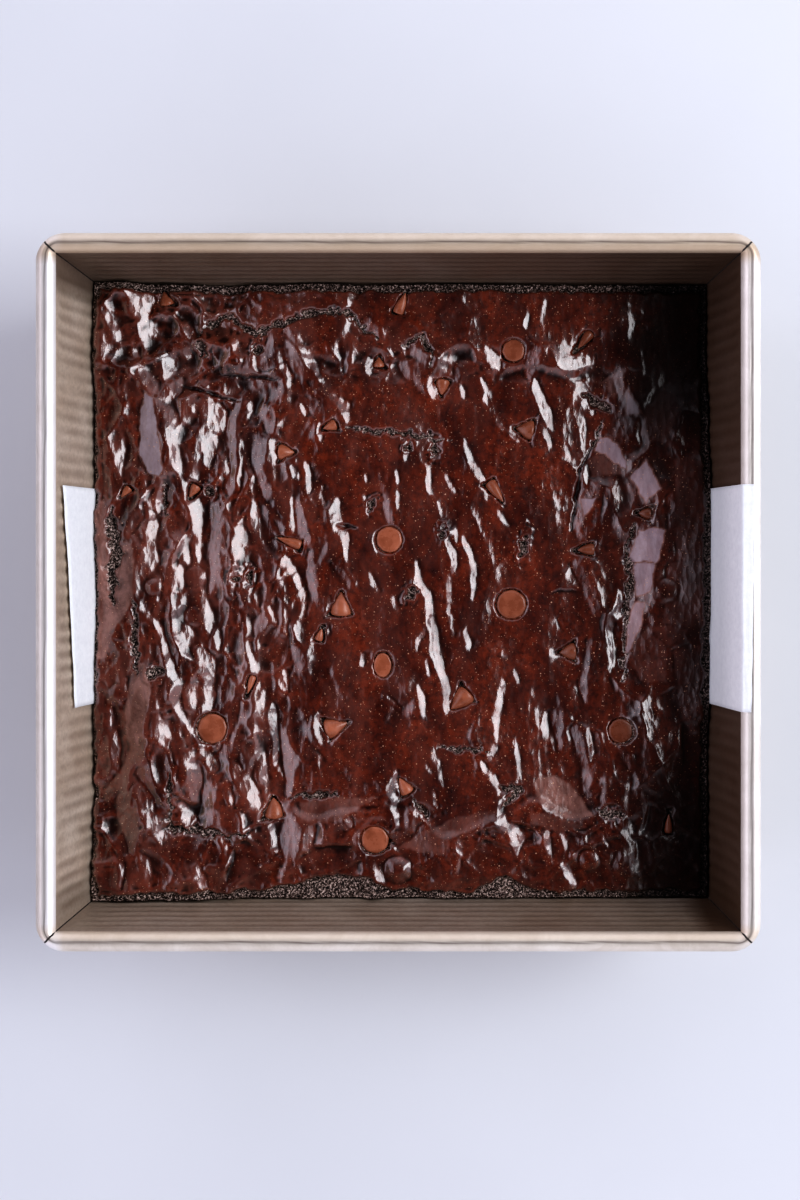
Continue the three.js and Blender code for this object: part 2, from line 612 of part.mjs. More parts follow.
// A crack is a groove, deepest and widest halfway along.
function crack([width, ...points]) {
  const line = points.flatMap((point, i) => {
    const next = points[i + 1];
    if (!next) return [point];
    return [point, [(point[0] + next[0]) / 2, (point[1] + next[1]) / 2]];
  });
  const positions = [];
  const corners = [];
  line.forEach(([x, y], i) => {
    const before = line[Math.max(i - 1, 0)];
    const after = line[Math.min(i + 1, line.length - 1)];
    const side = new THREE.Vector2(before[1] - after[1], after[0] - before[0]).normalize();
    const share = THREE.MathUtils.lerp(CRACK_END_SHARE, 1, Math.sin((Math.PI * i) / (line.length - 1)));
    const waver = width * CRACK_WAVER * (2 * scatter(i, points.length, Math.round(10 * width)) - 1);
    const [midX, midY] = [x + waver * side.x, y + waver * side.y];
    const depth = CRACK_DEPTH * share;
    const half = ((width * share) / 2) * ((depth + CRACK_CLEARANCE) / depth);
    const z = skinHeight(midX, midY);
    positions.push(midX, midY, z - depth);
    positions.push(midX + half * side.x, midY + half * side.y, z + CRACK_CLEARANCE);
    positions.push(midX - half * side.x, midY - half * side.y, z + CRACK_CLEARANCE);
    if (i === 0) return;
    for (let k = 0; k < 3; k++) {
      const [a, b] = [3 * (i - 1) + k, 3 * (i - 1) + ((k + 1) % 3)];
      corners.push(a, a + 3, b, b, a + 3, b + 3);
    }
  });
  const last = positions.length / 3 - 3;
  corners.push(0, 1, 2, last + 2, last + 1, last);
  const geometry = new THREE.BufferGeometry();
  geometry.setAttribute("position", new THREE.Float32BufferAttribute(positions, 3));
  geometry.setIndex(corners);
  return solidOf(geometry);
}

// The shallow recess that the paper makes in the slab's side.
function paperRecess(turn) {
  const depth = 2 * PAPER_GAP + PAPER_THICKNESS;
  const low = SLAB_BOTTOM - RECESS_MARGIN;
  const high = SLAB_TOP + RECESS_MARGIN;
  const outline = [
    [cavityX(low) - depth, low],
    [cavityX(low) + depth, low],
    [cavityX(high) + depth, high],
    [cavityX(high) - depth, high],
  ];
  const geometry = pushed(outline, PAPER_WIDTH + 2 * PAPER_GAP, X, Z, Y.clone().negate());
  geometry.translate(0, PAPER_WIDTH / 2 + PAPER_GAP, 0).rotateZ(turn);
  return solidOf(geometry.translate(0, PAPER_MIDDLE_Y, 0));
}

function brownie() {
  const cracked = slabBody().subtract(joined(CRACKS.map(crack)));
  const whole = cracked.add(joined([...BASE_CHIPS.map(baseChip), ...SIDE_CHIPS.map(sideChip)]));
  return whole.subtract(paperRecess(0)).subtract(paperRecess(Math.PI));
}

function part(name, solid, colour, roughness, metalness) {
  const material = new THREE.MeshStandardMaterial({ color: colour, roughness, metalness });
  const mesh = new THREE.Mesh(geometryOf(solid), material);
  mesh.name = name;
  return mesh;
}

const tinOfBrownie = new THREE.Group();
tinOfBrownie.add(part("baking_tin", bakingTin(), 0x9a9084, 0.45, 0.9));
tinOfBrownie.add(part("parchment_sling", parchmentSling(), 0xe8e8ee, 0.85, 0));
tinOfBrownie.add(part("brownie", brownie(), 0x46201a, 0.3, 0));

export default tinOfBrownie;
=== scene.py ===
import math
from itertools import combinations

import bpy
import numpy as np
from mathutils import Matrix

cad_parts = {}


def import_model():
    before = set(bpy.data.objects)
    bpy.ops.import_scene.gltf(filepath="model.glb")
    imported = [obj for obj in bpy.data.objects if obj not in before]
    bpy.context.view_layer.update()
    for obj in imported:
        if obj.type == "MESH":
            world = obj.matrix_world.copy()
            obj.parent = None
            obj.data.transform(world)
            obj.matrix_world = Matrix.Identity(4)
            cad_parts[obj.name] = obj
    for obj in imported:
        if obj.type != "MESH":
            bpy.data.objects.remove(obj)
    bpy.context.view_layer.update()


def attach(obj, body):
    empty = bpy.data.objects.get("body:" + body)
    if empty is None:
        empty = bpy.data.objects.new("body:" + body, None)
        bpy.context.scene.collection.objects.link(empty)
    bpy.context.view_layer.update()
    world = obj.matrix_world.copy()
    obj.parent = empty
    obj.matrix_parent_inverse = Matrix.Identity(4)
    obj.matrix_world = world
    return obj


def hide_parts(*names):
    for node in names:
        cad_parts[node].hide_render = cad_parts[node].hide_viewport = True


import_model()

# Sizes are in millimetres here, and meshes are made in metres.
MM = 0.001

# The tin, as its solid has it.
TIN_X = 222.0
TIN_Y = 220.0
TIN_HEIGHT = 60.0
SHEET = 0.9
RIM_WIDTH = 6.1
RIM_HEIGHT = 5.8
RIM_CORNER = 9.0
LEAN_X = 0.172
LEAN_Y = 0.129
FLUTE_PITCH = 4.35
FLUTE_DEPTH = 0.35
PLAIN_BAND = 2.2
OPENING_X = TIN_X - 2 * RIM_WIDTH
OPENING_Y = TIN_Y - 2 * RIM_WIDTH
RIM_MIDDLE = TIN_HEIGHT - RIM_HEIGHT / 2
BAND_BOTTOM = RIM_MIDDLE - PLAIN_BAND

# The paper and the slab.
PAPER_WIDTH = 69.5
PAPER_THICKNESS = 0.35
PAPER_MIDDLE_Y = -1.8
PAPER_GAP = 0.32
SLAB_TOP = 27.2
SLAB_BOTTOM = 1.95
SLAB_GAP = 0.42

# The photograph's frame and where the axis of its lens meets it, in pixels, and its scale at the rim.
PHOTO_WIDTH = 800
PHOTO_HEIGHT = 1200
AXIS_X = 459.7
AXIS_Y = 560.3
TIN_MIDDLE_PIXEL_X = 398.35
TIN_MIDDLE_PIXEL_Y = 592.2
PIXELS_PER_MM = 3.264
LENS = 50.0
SENSOR = 36.0


def cavity_x(z):
    return OPENING_X / 2 - LEAN_X * (RIM_MIDDLE - z)


def cavity_y(z):
    return OPENING_Y / 2 - LEAN_Y * (RIM_MIDDLE - z)


# Noise and small helpers

# The factors that mix a grid place and a seed into one number, and the largest number of 32 bits.
COLUMN_FACTOR = 374761393
ROW_FACTOR = 668265263
SEED_FACTOR = 974634777
MIX_FACTOR = 1274126177
LARGEST = 0xFFFFFFFF


def scatter(column, row, seed):
    """Numbers from 0 to 1 that depend only on a grid place and a seed."""
    column = (np.asarray(column, np.int64) & LARGEST).astype(np.uint32)
    row = (np.asarray(row, np.int64) & LARGEST).astype(np.uint32)
    with np.errstate(over="ignore"):
        mixed = column * np.uint32(COLUMN_FACTOR) ^ row * np.uint32(ROW_FACTOR)
        mixed = mixed ^ np.uint32((seed * SEED_FACTOR) & LARGEST)
        mixed = (mixed ^ (mixed >> np.uint32(13))) * np.uint32(MIX_FACTOR)
        mixed = mixed ^ (mixed >> np.uint32(16))
    return mixed.astype(float) / LARGEST


def noise(x, y, seed):
    """Smooth noise from about -1 to 1, one bump to a unit."""
    column, row = np.floor(x), np.floor(y)
    right, up = x - column, y - row

    def corner(dx, dy):
        angle = 2 * math.pi * scatter(column + dx, row + dy, seed)
        return np.cos(angle) * (right - dx) + np.sin(angle) * (up - dy)

    ease_x = right ** 3 * (right * (6 * right - 15) + 10)
    ease_y = up ** 3 * (up * (6 * up - 15) + 10)
    low = corner(0, 0) * (1 - ease_x) + corner(1, 0) * ease_x
    high = corner(0, 1) * (1 - ease_x) + corner(1, 1) * ease_x
    return 1.5 * (low * (1 - ease_y) + high * ease_y)


def waves(x, y, seed, layers):
    """Noise of several sizes: each layer is its height and its length across and along."""
    return sum(height * noise(x / across, y / along, seed + number)
               for number, (height, across, along) in enumerate(layers))


def rise(start, end, value):
    """From 0 to 1 as a value goes from start to end, with soft ends."""
    share = np.clip((value - start) / (end - start), 0, 1)
    return share * share * (3 - 2 * share)


def hump(value, middle, width):
    """A smooth hump: 1 at its middle, falling to 0 beyond its width."""
    return np.exp(-(((value - middle) / width) ** 2))


def segment_share(x, y, ax, ay, bx, by):
    """Each point's nearest place on a segment, as a share of the way along it, and the offset from there."""
    span = (bx - ax) ** 2 + (by - ay) ** 2
    share = np.clip(((x - ax) * (bx - ax) + (y - ay) * (by - ay)) / span, 0, 1)
    return share, x - ax - share * (bx - ax), y - ay - share * (by - ay)


# A crumpled sheet's bends and smaller kinks, how hollow each of its patches is and the width of its ridges.
FACET_BEND = 3.6
FACET_BEND_LENGTH = 17
FACET_KINK = 0.2
FACET_KINK_LENGTH = 5
FACET_HOLLOW = 0.8
FACET_STAND = 0.5
FACET_MIDDLE = 0.25
RIDGE_WIDTH = 0.07
RIDGE = 0.12
LOW_RIDGE = 0.06
FAR = 9.0


def bent(place, x, y, seed):
    """One coordinate, moved to and fro so that straight lines bend."""
    bend = FACET_BEND * noise(x / FACET_BEND_LENGTH, y / FACET_BEND_LENGTH, seed)
    kink = FACET_KINK * FACET_BEND * noise(x / FACET_KINK_LENGTH, y / FACET_KINK_LENGTH, seed + 2)
    return place + bend + kink


def facets(x, y, length_x, length_y, seed, ridge=RIDGE):
    """A crumpled sheet, about -0.5 to 0.5: each patch is the lowest of its neighbours' tilted planes.

    Its skin is pressed up into a thin ridge where two patches meet.
    """
    u = bent(x, x, y, seed + 1) / length_x
    v = bent(y, x, y, seed + 2) / length_y
    column, row = np.floor(u), np.floor(v)
    lowest = np.full_like(u, FAR)
    second = np.full_like(u, FAR)
    for step_u in (-1, 0, 1):
        for step_v in (-1, 0, 1):
            c, r = column + step_u, row + step_v
            away_u = u - c - 0.1 - 0.8 * scatter(c, r, seed + 5)
            away_v = v - r - 0.1 - 0.8 * scatter(c, r, seed + 6)
            slope_u = 2 * scatter(c, r, seed + 7) - 1
            slope_v = 2 * scatter(c, r, seed + 8) - 1
            plane = FACET_STAND * scatter(c, r, seed + 9) + slope_u * away_u + slope_v * away_v
            plane = plane + FACET_HOLLOW * (away_u ** 2 + away_v ** 2)
            second = np.minimum(second, np.maximum(lowest, plane))
            lowest = np.minimum(lowest, plane)
    return lowest - FACET_MIDDLE + ridge * hump(second, lowest, RIDGE_WIDTH)


def mesh_object(name, points_mm, faces, material, smooth=True):
    """A mesh of points in millimetres and of faces that all have the same number of sides."""
    mesh = bpy.data.meshes.new(name)
    mesh.vertices.add(len(points_mm))
    mesh.vertices.foreach_set("co", (np.asarray(points_mm, float) * MM).astype(np.float32).ravel())
    mesh.loops.add(faces.size)
    mesh.loops.foreach_set("vertex_index", faces.astype(np.int32).ravel())
    mesh.polygons.add(len(faces))
    mesh.polygons.foreach_set("loop_start", np.arange(0, faces.size, faces.shape[1], dtype=np.int32))
    mesh.update(calc_edges=True)
    mesh.validate()
    mesh.polygons.foreach_set("use_smooth", [smooth] * len(mesh.polygons))
    mesh.materials.append(material)
    made = bpy.data.objects.new(name, mesh)
    bpy.context.scene.collection.objects.link(made)
    return made


def grid_faces(rows, columns, close_rows=False, close_columns=False):
    """Quads between the points of a grid that is listed row by row."""
    i, j = np.meshgrid(
        np.arange(rows if close_rows else rows - 1),
        np.arange(columns if close_columns else columns - 1),
        indexing="ij",
    )
    a = i * columns + j
    b = i * columns + (j + 1) % columns
    c = ((i + 1) % rows) * columns + (j + 1) % columns
    d = ((i + 1) % rows) * columns + j
    return np.stack([a, b, c, d], -1).reshape(-1, 4)


def grid_border(rows, columns):
    """The numbers of such a grid's outer points, once round."""
    across = np.arange(columns - 1)
    down = np.arange(rows - 1)
    last = rows * columns - 1
    return np.concatenate([across, down * columns + columns - 1, last - across, (rows - 1 - down) * columns])


def merged(parts):
    """Lists of (points, quads) as one, with the quads renumbered."""
    points, faces, start = [], [], 0
    for part_points, part_faces in parts:
        points.append(part_points)
        faces.append(part_faces + start)
        start += len(part_points)
    return np.concatenate(points), np.concatenate(faces)


def give_values(made, name, values):
    """Puts one number on each of a mesh's points, for its material."""
    kept = made.data.attributes.new(name, "FLOAT", "POINT")
    kept.data.foreach_set("value", np.asarray(values).astype(np.float32))


def finish_piece(piece, node):
    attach(piece, "root")
    if node:
        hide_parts(node)


# Materials

X, Y = 0, 1


class Nodes:
    """A short way to write the nodes of a material or of the world."""

    def __init__(self, owner):
        owner.use_nodes = True
        self.owner = owner
        self.tree = owner.node_tree

    def put(self, socket, value):
        if isinstance(value, bpy.types.NodeSocket):
            self.tree.links.new(value, socket)
        elif socket.type == "RGBA":
            socket.default_value = (*value, 1)
        else:
            socket.default_value = value

    def add(self, kind, values=None, **settings):
        node = self.tree.nodes.new(kind)
        for key, value in settings.items():
            setattr(node, key, value)
        for key, value in (values or {}).items():
            self.put(node.inputs[key], value)
        return node

    def place(self, scale=(1, 1, 1)):
        coordinates = self.add("ShaderNodeTexCoord")
        mapping = self.add("ShaderNodeMapping", {"Vector": coordinates.outputs["Object"], "Scale": scale})
        return mapping.outputs[0]

    def noise(self, scale, detail=3.0, rough=0.5, stretch=(1, 1, 1), distort=0.0):
        values = {"Vector": self.place(stretch), "Scale": scale, "Detail": detail,
                  "Roughness": rough, "Distortion": distort}
        return self.add("ShaderNodeTexNoise", values).outputs["Fac"]

    def cells(self, scale, stretch=(1, 1, 1)):
        values = {"Vector": self.place(stretch), "Scale": scale}
        return self.add("ShaderNodeTexVoronoi", values).outputs["Distance"]

    def attribute(self, name):
        return self.add("ShaderNodeAttribute", attribute_name=name).outputs["Fac"]

    def ramp(self, value, *stops):
        node = self.add("ShaderNodeValToRGB", {"Fac": value})
        elements = node.color_ramp.elements
        while len(elements) < len(stops):
            elements.new(0.5)
        for element, (position, colour) in zip(elements, stops):
            element.position = position
            element.color = (*colour, 1)
        return node.outputs["Color"]

    def span(self, value, start, end, low=0.0, high=1.0, kind="LINEAR"):
        """From low to high as a value goes from start to end."""
        values = {"Value": value, "From Min": start, "From Max": end, "To Min": low, "To Max": high}
        return self.add("ShaderNodeMapRange", values, interpolation_type=kind).outputs["Result"]

    def along(self, axis, start, end, low=0.0, high=1.0):
        """From low to high as a place along an axis goes from start to end, in millimetres."""
        coordinates = self.add("ShaderNodeTexCoord")
        place = self.add("ShaderNodeSeparateXYZ", {0: coordinates.outputs["Object"]}).outputs[axis]
        return self.span(place, start * MM, end * MM, low, high)

    def math(self, operation, a, b=0.0):
        return self.add("ShaderNodeMath", {0: a, 1: b}, operation=operation).outputs[0]

    def times(self, a, b):
        return self.math("MULTIPLY", a, b)

    def larger(self, a, b):
        return self.math("MAXIMUM", a, b)

    def less(self, a, b):
        return self.math("SUBTRACT", a, b)

    def mix(self, share, a, b):
        """From colour a to colour b as a share goes from 0 to 1."""
        return self.add("ShaderNodeMix", {0: share, 6: a, 7: b}, data_type="RGBA").outputs[2]

    def bump(self, height, distance_mm, strength=1.0, under=None):
        values = {"Height": height, "Distance": distance_mm * MM, "Strength": strength}
        if under is not None:
            values["Normal"] = under
        return self.add("ShaderNodeBump", values).outputs["Normal"]

    def set(self, **values):
        shader = self.tree.nodes["Principled BSDF"]
        for key, value in values.items():
            self.put(shader.inputs[key.replace("_", " ")], value)
        return self.owner


def material_nodes(name):
    return Nodes(bpy.data.materials.new(name))


# The brownie's colours. The skin goes from dark to warm in blotches, has a painted sheen at the left,
# painted shade at the right wall and in recesses, dull patches with a painted tan and lavender sheen, and
# small specks.
SKIN_DARK = (0.052, 0.007, 0.003)
SKIN_WARM = (0.195, 0.034, 0.012)
SKIN_FINE = (0.026, 0.004, 0.003)
SKIN_PAINTED_SHEEN = (0.24, 0.085, 0.062)
SKIN_WALL_SHADE = (0.010, 0.003, 0.002)
SKIN_SPECK = (0.62, 0.36, 0.24)
SKIN_SHADE = (0.006, 0.0015, 0.001)
SKIN_HOLLOW_SHADE = (0.008, 0.002, 0.0015)
DULL_SKIN_AND_SHEEN = ((0.13, 0.056, 0.043), (0.38, 0.205, 0.170))
PAINTED_LAVENDER_SHEEN = ((0.29, 0.22, 0.245), (0.42, 0.345, 0.385))
SPECKS = ((330, 0.09), (190, 0.06), (610, 0.12), (900, 0.13))
CRUMB_STOPS = (
    (0.38, (0.006, 0.004, 0.003)),
    (0.48, (0.036, 0.021, 0.017)),
    (0.54, (0.19, 0.125, 0.102)),
    (0.60, (0.72, 0.58, 0.52)),
)
CRUMB_SHADE = (0.002, 0.0015, 0.0015)
CHIP_STOPS = ((0.3, (0.26, 0.082, 0.040)), (0.7, (0.45, 0.165, 0.092)))
# The chips' painted shade towards the right wall.
CHIP_PAINTED_SHADE = (0.06, 0.012, 0.004)

# The brownie's noises, each its scale, detail and roughness, and some also their stretch and distortion.
CRUMB_GRAIN = (1500, 3, 0.75)
BLOTCHES = (95, 5, 0.65, (1.2, 0.7, 1), 0.4)
FINE_GRAIN = (520, 4, 0.7)
PAINTED_SHEEN_CLOUDS = (70, 4, 0.6, (1.3, 0.6, 1), 0.5)
DULL_SHEEN_CLOUDS = (110, 5, 0.7, (1.4, 0.7, 1), 0.6)
LAVENDER_SHEEN_CLOUDS = (180, 4, 0.7, (1.2, 0.6, 1), 0.5)
STREAKS = (240, 4, 0.7, (1.0, 0.35, 1), 0.4)
ROUGH_CLOUDS = (75, 3, 0.6)
WRINKLES = (260, 3, 0.6, (1.5, 0.8, 1), 0.4)
CRUMPLED_CELLS = (330, (1.4, 0.8, 1))
FINE_LINES = (1100, 2, 0.5, (1.0, 0.3, 1))
PITS = (900, 2, 0.6)
CHIP_TONE = (230, 4, 0.6)
CHIP_GRAIN = (650, 3, 0.6)


def crumb_look(n, shade):
    """The grain and colour of torn crumb: nearly black, with many small pale specks where it is lit."""
    grain = n.noise(*CRUMB_GRAIN)
    return grain, n.mix(n.times(shade, 0.9), n.ramp(grain, *CRUMB_STOPS), CRUMB_SHADE)


def skin_colour(n, dull, shade, hollow_shade):
    colour = n.mix(n.span(n.noise(*BLOTCHES), 0.35, 0.64), SKIN_DARK, SKIN_WARM)
    colour = n.mix(n.span(n.noise(*FINE_GRAIN), 0.42, 0.66, 0, 0.75), colour, SKIN_FINE)
    # A painted sheen, strongest towards the left.
    painted_sheen = n.span(n.noise(*PAINTED_SHEEN_CLOUDS), 0.42, 0.62)
    colour = n.mix(n.times(n.along(X, 60, -70, 0.04, 0.5), painted_sheen), colour, SKIN_PAINTED_SHEEN)
    # Painted shade, darker towards the right wall.
    colour = n.mix(n.along(X, 45, 90, 0, 0.5), colour, SKIN_WALL_SHADE)
    # Dull skin, lighter with a painted tan sheen.
    dull_and_sheen = n.mix(n.span(n.noise(*DULL_SHEEN_CLOUDS), 0.37, 0.62), *DULL_SKIN_AND_SHEEN)
    colour = n.mix(n.span(dull, 0, 1, 0, 0.85), colour, dull_and_sheen)
    # Past a dullness of 1, a painted lavender sheen.
    pale = n.mix(n.span(n.noise(*LAVENDER_SHEEN_CLOUDS), 0.35, 0.65), *PAINTED_LAVENDER_SHEEN)
    colour = n.mix(n.span(dull, 1, 1.5, 0, 0.9), colour, pale)
    for scale, size in SPECKS:
        colour = n.mix(n.span(n.cells(scale), size, 0.4 * size), colour, SKIN_SPECK)
    colour = n.mix(n.times(shade, 0.96), colour, SKIN_SHADE)
    # Painted shade in recesses.
    return n.mix(hollow_shade, colour, SKIN_HOLLOW_SHADE)


def skin_coat(n, dull, shade, hollow_shade, crumb):
    """How glossy the skin is: less where it is torn, dull or streaked, and under painted shade at the right
    wall and in recesses.
    """
    bare_or_dull = n.larger(crumb, n.span(dull, 0, 1, 0, 0.75))
    unlit = n.larger(n.times(shade, 0.95), n.times(hollow_shade, 0.85))
    coat = n.less(1.0, n.larger(bare_or_dull, unlit))
    streaks = n.span(n.noise(*STREAKS), 0.55, 0.33)
    return n.times(coat, n.less(1.0, n.times(streaks, n.along(X, -40, 0, 0.15, 0.6))))


def skin_material():
    n = material_nodes("brownie_skin")
    dull, shade, hollow_shade, crumb = map(n.attribute, ("dull", "shade", "hollow_shade", "crumb"))
    grain, crumb_colour = crumb_look(n, shade)
    colour = n.mix(crumb, skin_colour(n, dull, shade, hollow_shade), crumb_colour)
    skin_rough = n.span(n.noise(*ROUGH_CLOUDS), 0.35, 0.70, 0.31, 0.46)
    wrinkle = n.bump(n.noise(*WRINKLES), 0.5, 0.12)
    crumple = n.bump(n.cells(*CRUMPLED_CELLS), 1.2, 0.14, wrinkle)
    lines = n.bump(n.noise(*FINE_LINES), 0.16, 0.35, crumple)
    pits = n.bump(n.noise(*PITS), 0.14, 0.3, crumple)
    n.set(Coat_Weight=skin_coat(n, dull, shade, hollow_shade, crumb), Coat_Roughness=0.14, Coat_IOR=1.9,
          Coat_Normal=lines)
    return n.set(Base_Color=colour, Roughness=n.larger(n.times(crumb, 0.8), skin_rough), IOR=1.33,
                 Normal=n.bump(grain, 0.5, n.times(crumb, 0.9), pits))


def chocolate_material():
    n = material_nodes("chocolate_chip")
    tone = n.noise(*CHIP_TONE)
    # Chips darker towards the right wall: painted shade.
    colour = n.mix(n.along(X, 85, 5, 0.75, 0), n.ramp(tone, *CHIP_STOPS), CHIP_PAINTED_SHADE)
    bump = n.bump(n.noise(*CHIP_GRAIN), 0.12, 0.4)
    return n.set(Base_Color=colour, Roughness=n.span(tone, 0.3, 0.7, 0.22, 0.34), Normal=bump)


def crumb_material():
    n = material_nodes("brownie_crumb")
    grain, colour = crumb_look(n, n.attribute("shade"))
    return n.set(Base_Color=colour, Roughness=0.6, Normal=n.bump(grain, 0.4, 0.8), IOR=1.35)


# The tin's colours: worn steel with darker grains, grooves darkened partly by baked-on residue and partly by
# painted shade, painted shade inside the right, back and front walls, and a painted highlight and painted
# shade on the rim.
TIN_PALE = ((0.60, 0.49, 0.38), (0.74, 0.65, 0.55))
TIN_GRAIN = (0.32, 0.25, 0.19)
TIN_GROOVE_SHADE = (0.27, 0.20, 0.15)
TIN_WALL_SHADE = (0.085, 0.040, 0.021)
TIN_FRONT_SHADE = (0.11, 0.065, 0.038)
TIN_OUTSIDE = (0.22, 0.17, 0.13)
TIN_OUTSIDE_SHARE = 0.35
TIN_METALLIC = 0.35
RIM_PALE = ((0.66, 0.60, 0.53), (0.86, 0.81, 0.75))
RIM_PAINTED_HIGHLIGHT = (0.97, 0.96, 0.97)
RIM_GOLD = (0.74, 0.60, 0.43)
RIM_BACK = (0.50, 0.37, 0.24)
RIM_OUTER_LEFT_SHADE = (0.42, 0.39, 0.38)
RIM_GROOVE_SHADE = (0.12, 0.09, 0.08)
SEAM_STOPS = ((0.3, (0.012, 0.009, 0.008)), (0.8, (0.05, 0.04, 0.035)))
PAPER_STOPS = ((0.3, (0.82, 0.85, 0.88)), (0.7, (0.93, 0.96, 0.98)))
PAPER_WALL_SHADE = (0.52, 0.56, 0.58)
FLOOR_STOPS = ((0.3, (0.71, 0.735, 0.77)), (0.7, (0.75, 0.775, 0.81)))

# Their noises in the same way: clouds for tone or gloss, and grains.
TIN_CLOUDS = (30, 4, 0.6)
TIN_FINE = (800, 3, 0.6)
TIN_WORN = (70, 3, 0.6)
TIN_GLOSS = (120, 4, 0.6)
RIM_SCUFFS = (60, 5, 0.7, (1, 1, 1), 0.5)
RIM_FINE = (700, 3, 0.6)
RIM_GLOSS = (150, 4, 0.6)
SEAM_GRAIN = (600, 2, 0.5)
PAPER_FIBRE = (500, 5, 0.7)
FLOOR_CLOUDS = (6, 3, 0.5)


def tin_material():
    n = material_nodes("tin_steel")
    inside = n.attribute("inside")
    fine = n.noise(*TIN_FINE)
    colour = n.mix(n.span(n.noise(*TIN_CLOUDS), 0.3, 0.7), *TIN_PALE)
    colour = n.mix(n.span(fine, 0.4, 0.75, 0, 0.35), colour, TIN_GRAIN)
    # Painted shade in the flutes' grooves, partly baked-on residue.
    groove_and_shade = n.times(n.attribute("groove_and_shade"), n.span(n.noise(*TIN_WORN), 0.3, 0.6, 0.1, 0.55))
    colour = n.mix(groove_and_shade, colour, TIN_GROOVE_SHADE)
    # Painted shade inside the right and back walls, and a lighter painted shade inside the front wall.
    back = n.times(n.along(Y, 90, 97), n.along(X, -20, 70, 0.70, 0.88))
    wall_shade = n.larger(n.along(X, 90, 97, 0, 0.90), back)
    colour = n.mix(n.times(inside, wall_shade), colour, TIN_WALL_SHADE)
    front = n.times(n.along(Y, -88, -96), n.along(X, -20, 70, 0.42, 0.60))
    colour = n.mix(n.times(inside, front), colour, TIN_FRONT_SHADE)
    outside = n.less(TIN_OUTSIDE_SHARE, n.times(inside, TIN_OUTSIDE_SHARE))
    colour = n.mix(outside, colour, TIN_OUTSIDE)
    rough = n.span(n.noise(*TIN_GLOSS), 0.3, 0.7, 0.36, 0.50)
    return n.set(Base_Color=colour, Metallic=TIN_METALLIC, Roughness=rough, Normal=n.bump(fine, 0.06, 0.3))


def rim_material():
    n = material_nodes("tin_rim")
    colour = n.mix(n.span(n.noise(*RIM_SCUFFS), 0.35, 0.7), *RIM_PALE)
    # A painted highlight on the left rim, and a weaker one on the right rim.
    painted_highlight_left = n.times(n.along(X, -102, -104.5, 0, 0.8), n.along(X, -109.5, -107.5))
    colour = n.mix(n.larger(painted_highlight_left, n.along(X, 102, 105, 0, 0.25)), colour, RIM_PAINTED_HIGHLIGHT)
    front = n.less(n.along(Y, -101, -103.5, 0, 0.45), n.along(Y, -105.5, -107, 0, 0.4))
    colour = n.mix(n.larger(n.along(Y, 101, 104, 0, 0.35), front), colour, RIM_GOLD)
    back = n.less(n.along(Y, 100, 103, 0, 0.62), n.along(Y, 105.5, 107.5, 0, 0.44))
    colour = n.mix(back, colour, RIM_BACK)
    # Painted shade on the left rim's outer side.
    colour = n.mix(n.along(X, -107.5, -109, 0, 0.4), colour, RIM_OUTER_LEFT_SHADE)
    # Painted shade in the rim's groove.
    colour = n.mix(n.attribute("groove_and_shade"), colour, RIM_GROOVE_SHADE)
    rough = n.span(n.noise(*RIM_GLOSS), 0.3, 0.7, 0.36, 0.48)
    bump = n.bump(n.noise(*RIM_FINE), 0.05, 0.3)
    return n.set(Base_Color=colour, Metallic=TIN_METALLIC, Roughness=rough, Normal=bump)


def seam_material():
    n = material_nodes("tin_seam")
    return n.set(Base_Color=n.ramp(n.noise(*SEAM_GRAIN), *SEAM_STOPS), Roughness=0.6)


def paper_material():
    n = material_nodes("baking_paper")
    fibre = n.noise(*PAPER_FIBRE)
    # Painted shade on the paper along the right wall.
    right_wall_shade = n.times(n.along(X, 92, 96), n.along(X, 103.5, 101.5, 0, 0.4))
    colour = n.mix(right_wall_shade, n.ramp(fibre, *PAPER_STOPS), PAPER_WALL_SHADE)
    return n.set(Base_Color=colour, Roughness=0.62, Normal=n.bump(fibre, 0.08, 0.3))


def floor_material():
    n = material_nodes("pale_floor")
    return n.set(Base_Color=n.ramp(n.noise(*FLOOR_CLOUDS), *FLOOR_STOPS), Roughness=0.5)


# The slab's chips, cracks, holes and main folds, measured in its plan

# Chips that lie point down and show their flat base, each x, y, length, width and bearing.
BASES = [
    (35.6, -4.7, 9.7, 9.4, 0),
    (-61.5, -44.8, 9.7, 9.7, 0),
    (-4.1, 16.5, 8.3, 8.3, 0),
    (71.1, -45.6, 7.8, 7.8, 0),
    (36.3, 78.1, 7.1, 7.1, 0),
    (-8.7, -80.6, 8.8, 8.6, 0),
    (-6.2, -24.3, 7.6, 5.6, 90),
]

